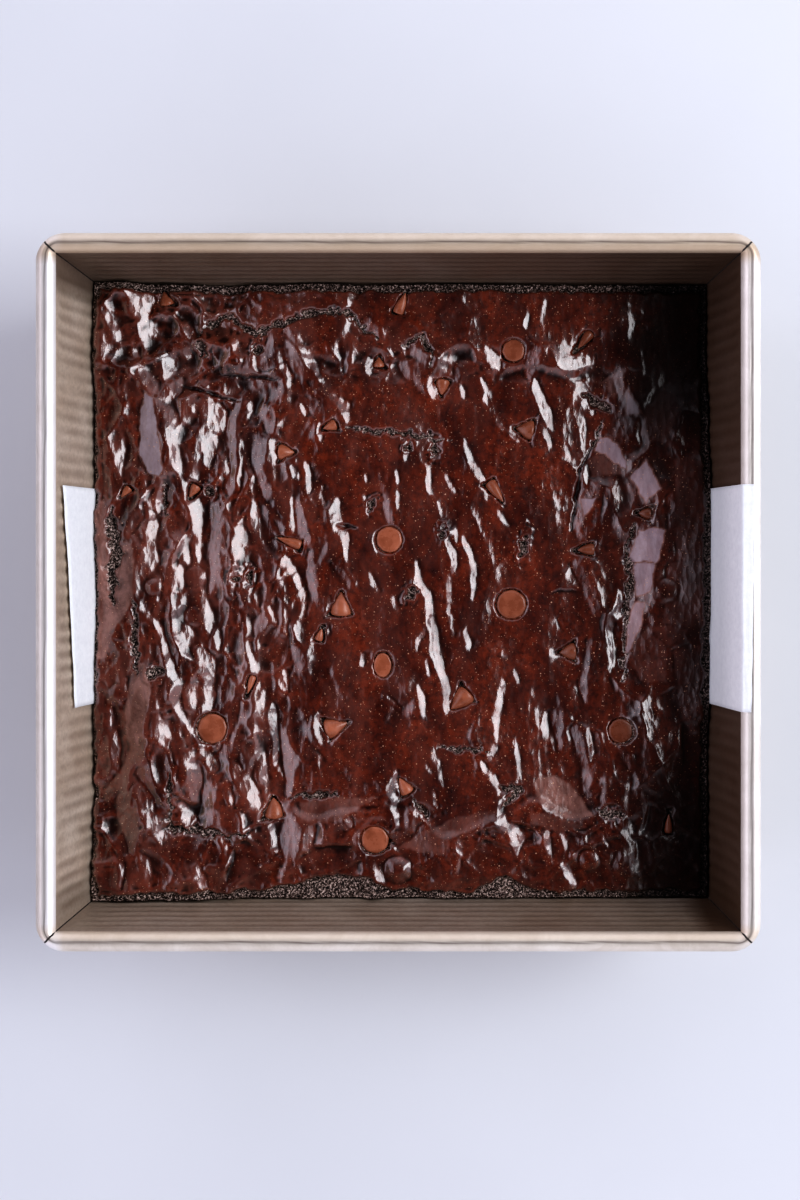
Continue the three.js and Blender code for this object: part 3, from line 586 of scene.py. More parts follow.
# Chips that lie on their side, each the middle of the base, the length to the tip, the width of the base and
# the bearing of the tip in degrees from +X.
TIPS = [
    (-19.7, -7.7, 7.8, 7.1, 90),
    (-24.2, -45.3, 7.6, 6.8, 20),
    (21.5, -33.6, 7.8, 6.5, -138),
    (2.0, -65.4, 5.7, 4.5, 121),
    (-41.4, -73.5, 6.5, 6.5, 93),
    (42.3, 52.0, 5.6, 6.8, 170),
    (-39.8, 44.9, 5.2, 5.2, 0),
    (62.4, 13.4, 5.5, 3.6, -177),
    (80.5, 24.8, 3.9, 3.9, 175),
    (56.2, -20.0, 5.2, 5.5, -176),
    (13.2, 68.2, 4.9, 4.5, -94),
    (-7.5, 72.8, 3.2, 3.2, 90),
    (-21.6, 54.0, 4.5, 3.2, -159),
    (28.6, 35.2, 8.2, 3.6, -56),
    (61.4, 83.8, 7.1, 2.9, -129),
    (86.4, -78.4, 6.5, 2.3, 90),
    (-48.2, -27.8, 6.1, 1.9, -106),
    (-66.7, 33.9, 4.5, 2.9, -120),
    (-76.5, 92.9, 4.6, 4.9, 102),
    (-1.2, 90.0, 7.3, 3.6, 69),
    (-33.0, 14.7, 8.2, 2.9, 162),
    (-27.1, -16.1, 4.1, 2.3, 72),
    (-88.1, 33.2, 4.2, 2.3, -129),
]

# Chips that the skin covers, each x, y, width and how far they stand up.
DOMES = [
    (-1.2, -90.0, 8.8, 1.9),
    (-79.4, 1.1, 5.6, 0.8),
    (85.4, -0.1, 8.0, 0.7),
    (-66.7, 4.5, 7.0, 0.6),
    (-66.7, -8.3, 7.0, 0.6),
    (-90.7, -33.0, 6.5, 0.7),
    (60.4, -87.1, 6.8, 0.9),
]

# Torn holes, each x, y, length, width and bearing.
HOLES = [
    (-78.7, -26.5, 5.0, 3.5, 20),
    (-46.9, 78.3, 4.0, 2.2, 80),
    (-9.3, 28.0, 3.0, 2.0, 60),
    (10.8, 45.2, 3.6, 2.6, 100),
    (2.2, 46.7, 2.6, 2.0, 40),
    (13.2, 19.0, 3.2, 1.8, 90),
    (39.9, 14.2, 6.6, 2.3, 80),
    (3.0, -0.8, 4.2, 2.8, 50),
    (-53.7, 4.0, 3.6, 1.5, 90),
    (-49.5, 4.0, 3.6, 1.5, 90),
    (-65.4, 78.9, 4.6, 3.2, 120),
    (-62.8, 32.0, 3.4, 2.4, 70),
]

# Cracks, each a width and the points it runs through.
CRACKS = [
    (1.8, (-66.4, 82.8), (-57.3, 90.0), (-47.6, 82.8), (-36.2, 87.8), (-28.0, 90.3), (-18.1, 90.3),
     (-7.7, 81.5)),
    (1.6, (0.1, 79.6), (7.2, 82.5), (10.2, 73.4)),
    (1.2, (-18.1, 52.3), (1.1, 51.1), (15.7, 48.8)),
    (4.0, (-93.4, 25.8), (-92.0, 14.0), (-93.0, 5.0), (-92.6, -4.1)),
    (1.6, (-85.0, -2.8), (-85.4, -16.1), (-84.7, -27.1)),
    (1.7, (-73.7, -56.6), (-74.2, -76.4), (-66.1, -78.0), (-50.0, -79.0)),
    (1.4, (-36.2, -67.7), (-19.8, -65.4)),
    (0.9, (63.5, 48.8), (58.4, 39.4), (57.5, 30.3), (55.6, 19.9)),
    (1.4, (76.0, 21.9), (73.4, 12.5), (74.7, 4.7), (73.4, -9.3), (71.9, -29.7)),
    (1.3, (12.0, -51.1), (28.4, -51.8)),
    (2.2, (59.8, 64.7), (66.6, 60.0), (68.2, 58.2)),
    (1.0, (65.8, 54.3), (62.0, 46.2)),
    (1.2, (3.7, -67.2), (8.9, -73.7)),
    (1.6, (30.9, -63.4), (38.4, -64.4), (32.0, -69.9)),
    (2.6, (63.7, -71.6), (71.8, -73.2)),
    (0.9, (-21.0, 21.2), (-15.1, 20.6)),
    (1.0, (-76.8, 35.8), (-76.5, 22.8)),
    (0.9, (-60.6, 70.8), (-37.9, 68.2)),
    (0.9, (-71.9, 66.6), (-52.5, 61.8)),
    (1.8, (-5.4, -83.2), (-2.8, -80.6)),
]

# The main folds that face the window. Each is its tilt in degrees and then, for every place along it, where
# it lies across and down the photograph's frame and how wide the fold is there, at the frame's scale.
WINDOW_FOLDS = [
    (22, 141, 290, 14, 143, 300, 20, 141, 310, 20, 144, 320, 8),
    (25, 152, 322, 4, 143, 339, 4),
    (25, 135, 352, 5, 139, 359, 5),
    (24, 141, 365, 5, 151, 384, 13, 161, 404, 5),
    (25, 175, 348, 5, 168, 363, 12, 170, 371, 9, 165, 379, 5),
    (24, 178, 382, 8, 173, 390, 14, 167, 397, 12),
    (25, 170, 412, 8, 174, 419, 11, 177, 428, 9, 175, 436, 8),
    (26, 169, 438, 5, 175, 448, 8, 178, 458, 8, 182, 480, 3, 185, 490, 5),
    (23, 207, 402, 12, 213, 411, 20, 214, 420, 22, 209, 430, 17, 202, 438, 9, 198, 447, 7, 197, 455, 5),
    (24, 212, 439, 9, 208, 448, 14, 206, 456, 12, 205, 464, 5),
    (25, 199, 456, 3, 192, 477, 5),
    (26, 186, 484, 7, 195, 504, 12, 199, 535, 6, 198, 559, 6),
    (26, 185, 539, 4, 189, 561, 7),
    (25, 183, 566, 5, 183, 576, 7, 184, 585, 4),
    (24, 124, 436, 3, 124, 448, 5, 121, 457, 8, 123, 477, 4),
    (26, 165, 482, 3, 160, 501, 4, 159, 513, 3),
    (24, 153, 516, 7, 155, 526, 10, 154, 535, 9),
    (23, 155, 547, 11, 153, 558, 18, 147, 567, 15, 144, 576, 8, 141, 586, 6, 146, 604, 5),
    (26, 163, 578, 4, 164, 588, 4, 161, 600, 4),
    (26, 147, 608, 4, 159, 622, 6, 167, 641, 6, 173, 663, 8, 186, 693, 4),
    (22, 142, 517, 8, 136, 525, 10, 131, 532, 7),
    (25, 240, 531, 10, 238, 539, 12, 236, 549, 7, 237, 567, 3),
    (24, 253, 502, 5, 255, 511, 9, 255, 521, 9, 253, 529, 4),
    (25, 235, 574, 6, 233, 584, 8, 233, 596, 5),
    (25, 248, 573, 5, 248, 584, 8, 250, 593, 5),
    (25, 203, 595, 5, 208, 617, 9, 210, 627, 7, 209, 635, 3),
    (23, 188, 626, 6, 190, 635, 11, 188, 645, 6),
    (25, 218, 630, 4, 218, 640, 8, 219, 650, 4),
    (25, 201, 650, 7, 206, 656, 13, 210, 665, 12, 206, 685, 15, 210, 695, 11, 210, 706, 5),
    (24, 197, 682, 8, 192, 690, 12, 195, 699, 12, 196, 706, 6),
    (25, 268, 607, 5, 275, 622, 5),
    (25, 246, 617, 4, 249, 626, 4),
    (26, 249, 645, 5, 254, 668, 8, 256, 692, 8, 255, 700, 4),
    (25, 284, 671, 5, 283, 681, 9, 285, 692, 5),
    (23, 285, 608, 4, 287, 620, 5, 285, 632, 4),
    (24, 291, 498, 4, 292, 526, 5),
    (24, 128, 678, 6, 128, 697, 5),
    (24, 180, 686, 8, 177, 695, 9),
    (26, 181, 701, 5, 183, 711, 6, 190, 728, 3),
    (23, 162, 713, 5, 167, 733, 12, 169, 745, 5),
    (24, 119, 731, 4, 119, 756, 7, 121, 766, 4),
    (23, 194, 753, 6, 199, 760, 9),
    (23, 207, 758, 7, 215, 765, 8),
    (24, 197, 768, 10, 196, 780, 11, 194, 798, 4),
    (25, 184, 804, 5, 193, 824, 10, 194, 830, 6),
    (25, 148, 808, 4, 154, 816, 6, 163, 834, 6),
    (22, 144, 788, 9, 150, 797, 11, 154, 805, 6),
    (25, 236, 768, 8, 248, 785, 12, 258, 803, 8),
    (25, 259, 750, 4, 254, 760, 7, 247, 777, 4),
    (24, 265, 755, 4, 263, 778, 7),
    (25, 273, 705, 4, 272, 716, 9, 274, 740, 5, 274, 766, 4),
    (24, 264, 691, 4, 262, 704, 5, 262, 719, 4),
    (25, 271, 823, 6, 275, 842, 4),
    (24, 231, 789, 5, 233, 799, 5),
    (22, 200, 864, 5, 205, 874, 8, 208, 886, 5),
    (23, 225, 838, 6, 229, 844, 6),
    (23, 184, 325, 5, 189, 333, 10, 186, 342, 8),
    (22, 184, 346, 8, 186, 354, 8),
    (23, 236, 340, 6, 234, 354, 4),
    (22, 284, 368, 7, 288, 377, 8, 290, 386, 6),
    (22, 110, 318, 7, 121, 335, 9),
    (24, 104, 372, 3, 100, 388, 3, 99, 404, 3),
    (22, 106, 340, 10, 108, 350, 9, 105, 360, 10),
    (23, 224, 465, 6, 227, 473, 6),
    (24, 240, 440, 4, 240, 474, 4),
    (23, 272, 440, 6, 273, 450, 8, 270, 460, 7),
    (23, 292, 468, 9, 296, 476, 8),
    (24, 250, 404, 4, 246, 420, 4),
    (24, 223, 394, 5, 232, 390, 7, 238, 388, 5),
    (22, 285, 562, 10, 291, 569, 8),
    (24, 127, 860, 4, 127, 880, 3),
    (22, 148, 856, 6, 151, 868, 8, 152, 876, 5),
    (23, 172, 884, 3, 172, 892, 4),
    (24, 113, 706, 3, 114, 716, 5, 113, 728, 4),
    (23, 357, 292, 7, 350, 297, 7),
    (24, 348, 308, 5, 350, 322, 7, 345, 334, 6, 331, 349, 6),
    (23, 298, 343, 3, 308, 360, 12, 313, 366, 10, 317, 374, 4),
    (24, 338, 356, 4, 341, 365, 6, 342, 373, 3),
    (24, 368, 360, 7, 368, 371, 8),
    (24, 403, 345, 6, 405, 352, 5),
    (23, 430, 378, 7, 430, 386, 11, 433, 394, 8),
    (23, 479, 352, 6, 487, 355, 14, 494, 360, 18, 496, 368, 12, 494, 376, 6),
    (24, 482, 379, 5, 485, 387, 5),
    (22, 320, 392, 4, 344, 405, 15, 347, 414, 8),
    (23, 301, 404, 5, 304, 413, 6),
    (25, 320, 424, 5, 318, 432, 6, 321, 441, 5),
    (24, 405, 443, 6, 407, 452, 8, 405, 460, 5),
    (25, 432, 445, 4, 434, 455, 5),
    (21, 465, 439, 4, 470, 460, 10, 482, 479, 9, 487, 498, 4),
    (22, 463, 386, 6, 463, 397, 6),
    (25, 305, 463, 4, 308, 474, 8, 309, 484, 7, 308, 495, 4),
    (25, 321, 486, 4, 320, 496, 5, 324, 503, 5),
    (25, 396, 471, 5, 398, 481, 5),
    (24, 428, 468, 4, 428, 479, 7, 430, 492, 4),
    (23, 447, 477, 4, 451, 486, 7, 457, 493, 3),
    (23, 365, 474, 4, 366, 482, 4),
    (25, 336, 503, 10, 334, 511, 14, 335, 520, 13, 341, 529, 9, 345, 539, 10, 346, 560, 3),
    (25, 364, 498, 4, 366, 507, 7, 367, 515, 4),
    (25, 398, 492, 3, 398, 508, 3),
    (25, 378, 532, 4, 375, 540, 6, 376, 549, 5),
    (26, 416, 560, 3, 417, 572, 5, 418, 580, 11, 428, 595, 7, 431, 615, 7, 430, 622, 10),
    (25, 430, 622, 9, 424, 632, 7, 417, 639, 6, 416, 650, 4),
    (26, 432, 621, 9, 435, 653, 12, 445, 683, 8, 447, 693, 10, 446, 711, 4),
    (25, 445, 539, 4, 450, 547, 8, 454, 556, 9, 455, 564, 7, 453, 573, 4),
    (26, 462, 538, 3, 467, 547, 7, 474, 566, 7, 474, 587, 6, 471, 597, 4),
    (19, 447, 574, 5, 449, 586, 8, 448, 610, 7, 453, 636, 4),
    (23, 456, 532, 3, 457, 543, 4),
    (22, 370, 576, 6, 374, 584, 9, 378, 590, 5),
    (21, 392, 598, 7, 397, 608, 6),
    (23, 427, 660, 4, 427, 674, 4),
    (21, 411, 683, 9, 409, 691, 6),
    (25, 418, 686, 5, 422, 695, 8, 422, 705, 9, 423, 715, 5),
    (21, 464, 632, 7, 469, 644, 7, 467, 652, 4),
    (25, 363, 655, 4, 362, 664, 5),
    (25, 329, 598, 5, 328, 608, 6, 330, 615, 5),
    (24, 304, 604, 6, 302, 617, 5),
    (24, 295, 578, 7, 303, 596, 6),
    (24, 326, 626, 7, 328, 634, 5),
    (25, 319, 714, 6, 316, 725, 8, 318, 736, 7, 322, 744, 6),
    (24, 385, 693, 3, 399, 708, 5),
    (21, 392, 711, 8, 386, 722, 5),
    (21, 504, 681, 5, 499, 707, 10, 495, 719, 9, 497, 734, 4),
    (23, 433, 750, 7, 433, 759, 8),
    (23, 426, 764, 6, 430, 770, 4),
    (22, 438, 762, 6, 442, 785, 4),
    (23, 495, 748, 8, 488, 757, 7),
    (21, 480, 762, 5, 493, 778, 9, 499, 789, 7),
    (25, 397, 770, 3, 392, 780, 7, 389, 790, 9, 394, 798, 8),
    (24, 349, 803, 4, 347, 813, 10, 351, 823, 9),
    (24, 315, 818, 5, 309, 836, 13, 305, 845, 6),
    (23, 355, 834, 6, 356, 843, 7),
    (24, 421, 806, 5, 426, 814, 5),
    (22, 417, 816, 7, 412, 828, 5),
    (24, 378, 870, 5, 381, 878, 10, 380, 886, 8),
    (22, 396, 810, 8, 399, 822, 7),
    (20, 458, 858, 5, 456, 872, 5),
    (20, 434, 790, 5, 436, 806, 6),
    (23, 528, 314, 3, 525, 325, 7),
    (22, 547, 303, 3, 542, 314, 3, 541, 322, 3),
    (23, 532, 338, 4, 546, 343, 7, 558, 346, 6, 572, 345, 5, 580, 341, 4),
    (25, 535, 379, 6, 537, 389, 12, 546, 410, 14, 554, 430, 4),
    (23, 501, 425, 5, 520, 440, 5),
    (25, 586, 417, 3, 585, 428, 7, 585, 439, 6, 583, 448, 3),
    (23, 586, 391, 4, 596, 410, 6),
    (23, 665, 383, 3, 656, 388, 5, 650, 396, 5, 645, 407, 3),
    (23, 639, 421, 5, 641, 433, 7, 640, 444, 4),
    (22, 635, 320, 3, 631, 330, 4, 630, 339, 2),
    (20, 622, 320, 2, 632, 314, 3, 643, 317, 2),
    (20, 627, 302, 2, 645, 311, 2),
    (20, 642, 350, 2, 645, 375, 3),
    (22, 568, 449, 4, 571, 458, 4),
    (22, 586, 468, 6, 588, 482, 6),
    (20, 545, 430, 6, 552, 444, 5),
    (24, 499, 508, 4, 501, 517, 7, 508, 525, 5),
    (24, 518, 534, 4, 518, 548, 5),
    (22, 514, 670, 3, 518, 682, 4),
    (22, 552, 654, 6, 560, 656, 5),
    (21, 624, 590, 4, 619, 614, 9, 624, 624, 6),
    (19, 611, 636, 8, 616, 645, 10),
    (19, 609, 652, 8, 613, 661, 12, 618, 672, 8),
    (22, 659, 580, 4, 662, 594, 4),
    (22, 670, 545, 3, 673, 556, 3),
    (23, 537, 713, 4, 539, 726, 4),
    (23, 547, 714, 4, 545, 725, 7, 548, 737, 4),
    (21, 516, 746, 5, 518, 760, 6, 519, 776, 3),
    (23, 495, 811, 8, 499, 819, 15, 509, 826, 15, 517, 834, 17, 516, 852, 4),
    (23, 532, 831, 4, 523, 835, 10),
    (24, 549, 829, 5, 546, 840, 8, 549, 852, 4),
    (21, 562, 834, 7, 565, 847, 7),
    (24, 560, 862, 4, 566, 872, 9, 574, 882, 8),
    (24, 588, 730, 4, 591, 751, 9, 591, 761, 5),
    (23, 631, 780, 4, 627, 791, 6, 621, 814, 4),
    (23, 632, 754, 4, 632, 766, 5, 628, 777, 4),
    (22, 606, 780, 5, 614, 776, 6),
    (22, 602, 734, 5, 604, 744, 4),
    (22, 647, 702, 3, 650, 716, 6),
    (21, 647, 806, 4, 644, 818, 7, 640, 832, 5),
    (22, 614, 824, 5, 633, 843, 8, 634, 854, 5, 630, 864, 3),
    (22, 602, 834, 6, 607, 845, 5),
    (22, 541, 798, 5, 549, 791, 9, 557, 786, 6),
]

# Those that face away from it.
SHADE_FOLDS = [
    (20, 242, 391, 4, 228, 424, 10, 233, 448, 8, 230, 488, 12),
    (20, 262, 442, 9, 258, 452, 13, 256, 462, 9, 267, 494, 9),
    (20, 261, 408, 5, 271, 434, 6),
    (19, 271, 342, 8, 269, 353, 14, 264, 363, 15),
    (19, 250, 362, 8, 246, 369, 8),
    (19, 288, 332, 9, 294, 339, 7),
    (20, 213, 506, 9, 216, 518, 12, 217, 532, 13, 214, 560, 10, 214, 576, 9, 211, 592, 6),
    (19, 266, 614, 9, 261, 624, 13, 256, 631, 7),
    (20, 148, 740, 9, 142, 760, 4),
    (18, 139, 748, 5, 134, 762, 8, 127, 775, 9, 107, 793, 6),
    (19, 127, 798, 12, 129, 810, 15, 137, 834, 10, 136, 846, 6),
    (19, 210, 788, 11, 210, 798, 12),
    (19, 216, 817, 14, 231, 822, 20, 236, 833, 9),
    (21, 283, 733, 7, 287, 750, 9, 290, 797, 5),
    (19, 290, 812, 10, 293, 825, 13, 288, 838, 15, 291, 848, 14),
    (19, 228, 748, 10, 222, 760, 12),
    (20, 172, 490, 5, 168, 505, 6, 166, 520, 5),
    (20, 292, 500, 4, 299, 520, 10, 299, 540, 8),
    (20, 152, 582, 4, 153, 592, 5),
    (19, 174, 440, 8, 172, 468, 8),
    (18, 168, 556, 6, 172, 570, 8, 171, 582, 6),
    (19, 172, 720, 5, 176, 735, 8, 183, 760, 5),
    (18, 243, 700, 3, 243, 716, 4, 232, 740, 5),
    (18, 146, 770, 9, 154, 784, 9, 157, 796, 6),
    (18, 226, 318, 16, 240, 326, 10, 256, 326, 7),
    (18, 292, 354, 10, 284, 360, 5),
    (18, 292, 388, 6, 278, 391, 5),
    (18, 293, 358, 14, 304, 368, 15, 314, 379, 10),
    (18, 302, 402, 12, 316, 408, 16, 330, 412, 15, 342, 420, 9),
    (20, 365, 321, 9, 374, 330, 15, 379, 335, 7),
    (18, 364, 338, 8, 373, 340, 6),
    (18, 403, 364, 13, 407, 377, 7),
    (18, 411, 350, 10, 423, 357, 13),
    (21, 440, 439, 12, 443, 449, 12, 441, 458, 7),
    (20, 458, 368, 7, 457, 380, 7),
    (20, 295, 506, 10, 300, 522, 13, 308, 540, 11),
    (20, 311, 556, 10, 311, 572, 13, 313, 586, 12, 314, 600, 5),
    (20, 319, 560, 8, 327, 545, 6),
    (19, 334, 564, 5, 344, 573, 8, 351, 585, 9),
    (20, 383, 498, 6, 387, 510, 13, 391, 521, 10),
    (19, 330, 669, 5, 335, 682, 7, 343, 698, 6),
    (19, 371, 655, 8, 374, 664, 5),
    (19, 296, 652, 10, 301, 664, 10),
    (18, 335, 800, 9, 348, 794, 11, 361, 787, 9, 374, 785, 9, 386, 787, 6),
    (17, 331, 800, 11, 338, 814, 15),
    (19, 407, 810, 8, 404, 824, 7),
    (20, 430, 822, 9, 421, 830, 12, 414, 840, 8),
    (15, 432, 823, 6, 455, 813, 8, 497, 803, 5),
    (19, 416, 702, 8, 405, 713, 9),
    (17, 306, 730, 6, 317, 745, 7, 328, 756, 7, 340, 764, 7, 352, 775, 5),
    (20, 448, 845, 8, 446, 853, 6),
    (21, 538, 343, 9, 536, 354, 17, 531, 366, 16, 529, 375, 9),
    (21, 605, 328, 8, 605, 339, 6),
    (18, 644, 322, 6, 652, 331, 5),
    (19, 628, 388, 7, 631, 400, 12, 636, 410, 17, 643, 414, 8),
    (18, 622, 372, 11, 614, 382, 15, 606, 388, 10),
    (20, 626, 420, 14, 628, 430, 14, 615, 435, 12),
    (22, 606, 442, 13, 611, 451, 20, 621, 460, 16, 631, 467, 8),
    (22, 644, 461, 7, 646, 471, 14, 645, 482, 24, 648, 493, 26, 649, 502, 16),
    (20, 592, 491, 20, 586, 501, 14, 580, 526, 10, 580, 536, 6),
    (20, 576, 564, 12, 584, 575, 15, 590, 588, 18, 592, 601, 15, 597, 614, 7),
    (22, 650, 524, 22, 645, 538, 30, 641, 554, 26, 640, 570, 16, 650, 598, 14, 645, 611, 10),
    (19, 668, 498, 8, 670, 512, 10, 667, 528, 8),
    (21, 591, 640, 7, 590, 655, 9, 583, 684, 11, 587, 702, 6),
    (19, 636, 624, 14, 632, 640, 17, 629, 658, 12),
    (19, 650, 618, 9, 649, 636, 9),
    (19, 690, 642, 6, 679, 650, 9, 676, 664, 8, 679, 682, 8, 693, 722, 4),
    (18, 667, 606, 9, 670, 622, 9),
    (17, 560, 620, 6, 568, 628, 11, 577, 637, 7),
    (21, 554, 714, 8, 560, 724, 15, 561, 736, 13, 561, 750, 5),
    (21, 574, 729, 9, 580, 743, 15, 585, 757, 13),
    (20, 590, 763, 22, 586, 789, 9, 588, 797, 4),
    (19, 601, 780, 8, 604, 794, 10, 604, 808, 7),
    (16, 617, 746, 6, 606, 753, 10, 598, 758, 7),
    (19, 644, 740, 6, 645, 756, 9, 645, 772, 7),
    (19, 673, 690, 5, 681, 710, 6, 692, 728, 5),
    (20, 619, 853, 6, 614, 864, 10),
    (19, 646, 842, 6, 649, 856, 8, 650, 868, 5),
]

# Those that face away and have a dull skin.
DULL_FOLDS = [
    (17, 146, 668, 12, 144, 690, 22, 140, 712, 22, 138, 730, 16, 146, 740, 10),
    (14, 103, 505, 10, 103, 540, 13, 107, 620, 16, 106, 655, 8),
    (14, 131, 552, 12, 130, 572, 20, 126, 592, 26, 120, 612, 16, 110, 628, 10),
]

# Flat patches between creases. Each is its tilt and bearing, how dull it is, past 1 with a painted lavender
# sheen, and its corners in that frame.
PATCHES = [
    (20, 180, 1.5, 146, 393, 157, 399, 161, 430, 166, 468, 163, 479, 150, 474, 140, 455, 141, 418),
    (23, 12, 0.0, 552, 350, 565, 347, 598, 354, 598, 361, 573, 380, 555, 365),
    (18, 165, 0.5, 602, 379, 625, 367, 625, 388, 615, 396),
    (18, 180, 1.35, 627, 388, 644, 414, 627, 417),
    (17, 175, 0.25, 646, 406, 665, 388, 674, 398, 677, 415, 663, 444, 640, 435),
    (20, 185, 1.4, 600, 434, 623, 442, 627, 462, 631, 473, 597, 450),
    (15, 190, 0.3, 590, 456, 600, 453, 631, 474, 613, 475, 593, 476),
    (21, 180, 1.4, 629, 477, 646, 460, 660, 489, 644, 504),
    (19, 180, 1.35, 581, 498, 600, 495, 592, 509, 584, 517),
    (21, 180, 1.4, 638, 529, 656, 527, 665, 531, 656, 562, 629, 562),
    (20, 180, 1.35, 632, 562, 655, 562, 650, 592, 636, 600),
    (20, 180, 1.3, 634, 603, 646, 600, 640, 630, 626, 660, 627, 632),
    (14, 180, 0.15, 672, 460, 700, 462, 700, 560, 674, 560),
    (18, 180, 0.15, 666, 562, 701, 562, 701, 626, 661, 624),
    (16, 175, 0.2, 628, 654, 646, 626, 666, 649, 666, 682, 641, 682),
    (13, 150, 0.1, 648, 624, 689, 628, 666, 648),
    (17, 182, 0.15, 671, 649, 699, 644, 699, 712, 681, 722),
    (9, 20, 0.9, 531, 783, 541, 775, 560, 777, 578, 791, 594, 817, 566, 817, 542, 806),
    (8, -90, 0.35, 528, 800, 566, 817, 592, 822, 580, 829, 555, 832, 530, 822),
    (16, 150, 0.5, 300, 798, 328, 797, 390, 785, 386, 792, 340, 819, 300, 822),
    (15, 160, 0.3, 413, 841, 451, 817, 500, 805, 489, 820, 425, 845),
    (17, 170, 0.4, 396, 847, 425, 829, 447, 824, 450, 840, 445, 853),
]

# The photograph's scale at the slab's top, and its pixel over the slab's middle.
TOP_PIXELS_PER_MM = 3.083
TOP_MIDDLE_PIXEL_X = 401.7
TOP_MIDDLE_PIXEL_Y = 590.4

# Noise layers, each its height and its length across and along: a torn edge, a crack's line, a main fold's
# line, the tilt along a fold in degrees, the slab's edge, bare crumb, and the edge of the shade.
TORN_EDGE = ((0.45, 2.4, 2.4), (0.3, 1.0, 1.0))
CRACK_LINE = ((1.3, 3.6, 3.6), (0.8, 1.4, 1.4))
FOLD_LINE_X = ((0.5, 4, 4), (0.3, 1.6, 1.6))
FOLD_LINE_Y = ((0.7, 4, 4), (0.35, 1.8, 1.8))
FOLD_TILT = ((5.0, 2.6, 6), (3.5, 1.3, 2.6))
SLAB_EDGE = ((1.1, 6, 6), (0.5, 2, 2))
BARE_CRUMB = ((0.22, 0.9, 0.9), (0.3, 1.7, 1.7))
SHADE_EDGE = ((5, 14, 14), (2, 4, 6))

# Where each kind of random fold begins and is full, and each layer's height, its length across and along and
# its seed.
EVERYWHERE = (-999, -998)
ENDS_FROM = (62, 78)
LEFT_FROM = (-14, -42)
RIGHT_FROM = (42, 60)
SIDE_FOLDS = ((2.0, 9, 24, 21), (0.95, 3.6, 8, 32))
RIGHT_FOLDS = ((1.9, 13, 19, 87), (0.4, 4, 7, 98))
END_FOLDS = ((2.6, 11, 9, 43), (0.8, 4.5, 4, 54))
MIDDLE_FOLDS = ((1.1, 12, 26, 65), (0.3, 5, 9, 76))

# How much lower the side folds are at the ends, how much higher the end folds are at the left, and where the
# end folds are calmer: by how much, and from where to where across X and Y.
SIDE_LESS_AT_ENDS = 0.75
END_MORE_AT_LEFT = 0.25
CALMER = (
    (0.65, (-58, -46), (76, 82)),
    (0.85, (30, 38), (66, 76)),
    (0.5, EVERYWHERE, (-78, -84)),
)

# The main folds: the bearings they face, the square grid they are laid on, how much steeper and how much
# thinner or wider they are than measured, and how firmly a border and the rest of the skin hold their slope.
WINDOW_BEARING = 12
SHADE_BEARING = 180
FIELD_HALF = 96.0
FIELD_STEP = 0.32
FOLD_GAIN = 1.1
THINNER = 0.85
WIDER = 1.10
FRONT_WIDER = 0.25
WIDER_LEFT_FROM = (-26, -36)
WIDER_FRONT_FROM = (-45, -55)
SHADE_UNEVEN = 0.35
PATCH_UNEVEN = 0.3
BORDER_REACH = 0.8
BORDER_HELD = 0.05
REST_HELD = 0.4
SETTLE_ROUNDS = 6

# Cracks, creases, pockets and holes. An edge or a seat is from where to where it falls, and bare is from
# where to where the crumb shows, both as distances outside the chip or hole.
CRACK_DEPTH = 2.4
CRACK_ENDS = 0.3
CRACK_UNEVEN = 0.7
CRACK_UNEVEN_LENGTH = 4.5
CRACK_FLARE = 1.05
CRACK_BARE = (1.2, 0.8)
CREASE_WIDTH = 0.95
CREASE_RAGGED = 0.35
LOPSIDED = 0.3
POCKET_DEPTH = 1.8
POCKET_REACH = 1.4
POCKET_SLOPE = 0.36
TIP_REACH = 0.7
TIP_EDGE = (0.55, 0.0)
TIP_BARE = (0.5, 0.3)
BASE_POCKET_REACH = 0.7 * POCKET_REACH
BASE_POCKET_DEPTH = 1.1
BASE_EDGE = (0.35, -0.05)
BASE_SEAT_DEPTH = 1.2
BASE_SEAT = (0.0, -1.0)
BASE_BARE = (0.2, 0.0)
BASE_RAGGED = 0.5
BASE_LOPSIDED = 0.4
HOLE_DEPTH = 1.5
HOLE_EDGE = (0.3, -0.6)
HOLE_BARE = (0.15, -0.1)
HOLE_LIP = 0.5
HOLE_LIP_PLACE = (0.8, 0.6)
HOLE_LIP_SIDE = (-0.6, 0.4)
HOLE_RAGGED = 2.0
DOME_RAGGED = 0.15

# The slab's swell, its raised border, and its edge, torn widely at the front and little at the left.
SWELLS = ((1.0, 46, 40), (0.5, 21, 0))
BORDER_WIDTH = 27.0
BORDER_SOFT = 3
BORDER_RISE = 1.1
BORDER_BEND = 9
BORDER_BEND_LENGTH = 17
EDGE_DROP = 1.8
EDGE_FALL = (3.6, 2.2)
EDGE_BARE = (3.3, 2.5)
FRONT_TORN = ((5.5, -20, 17), (5.0, 33, 6))
FRONT_TORN_Y = -60
FRONT_WHOLE = (0.8, -1, 6)
LEFT_WHOLE = 1.7


def wobble(x, y, seed):
    """A torn edge's raggedness, in millimetres."""
    return waves(x, y, seed, TORN_EDGE)


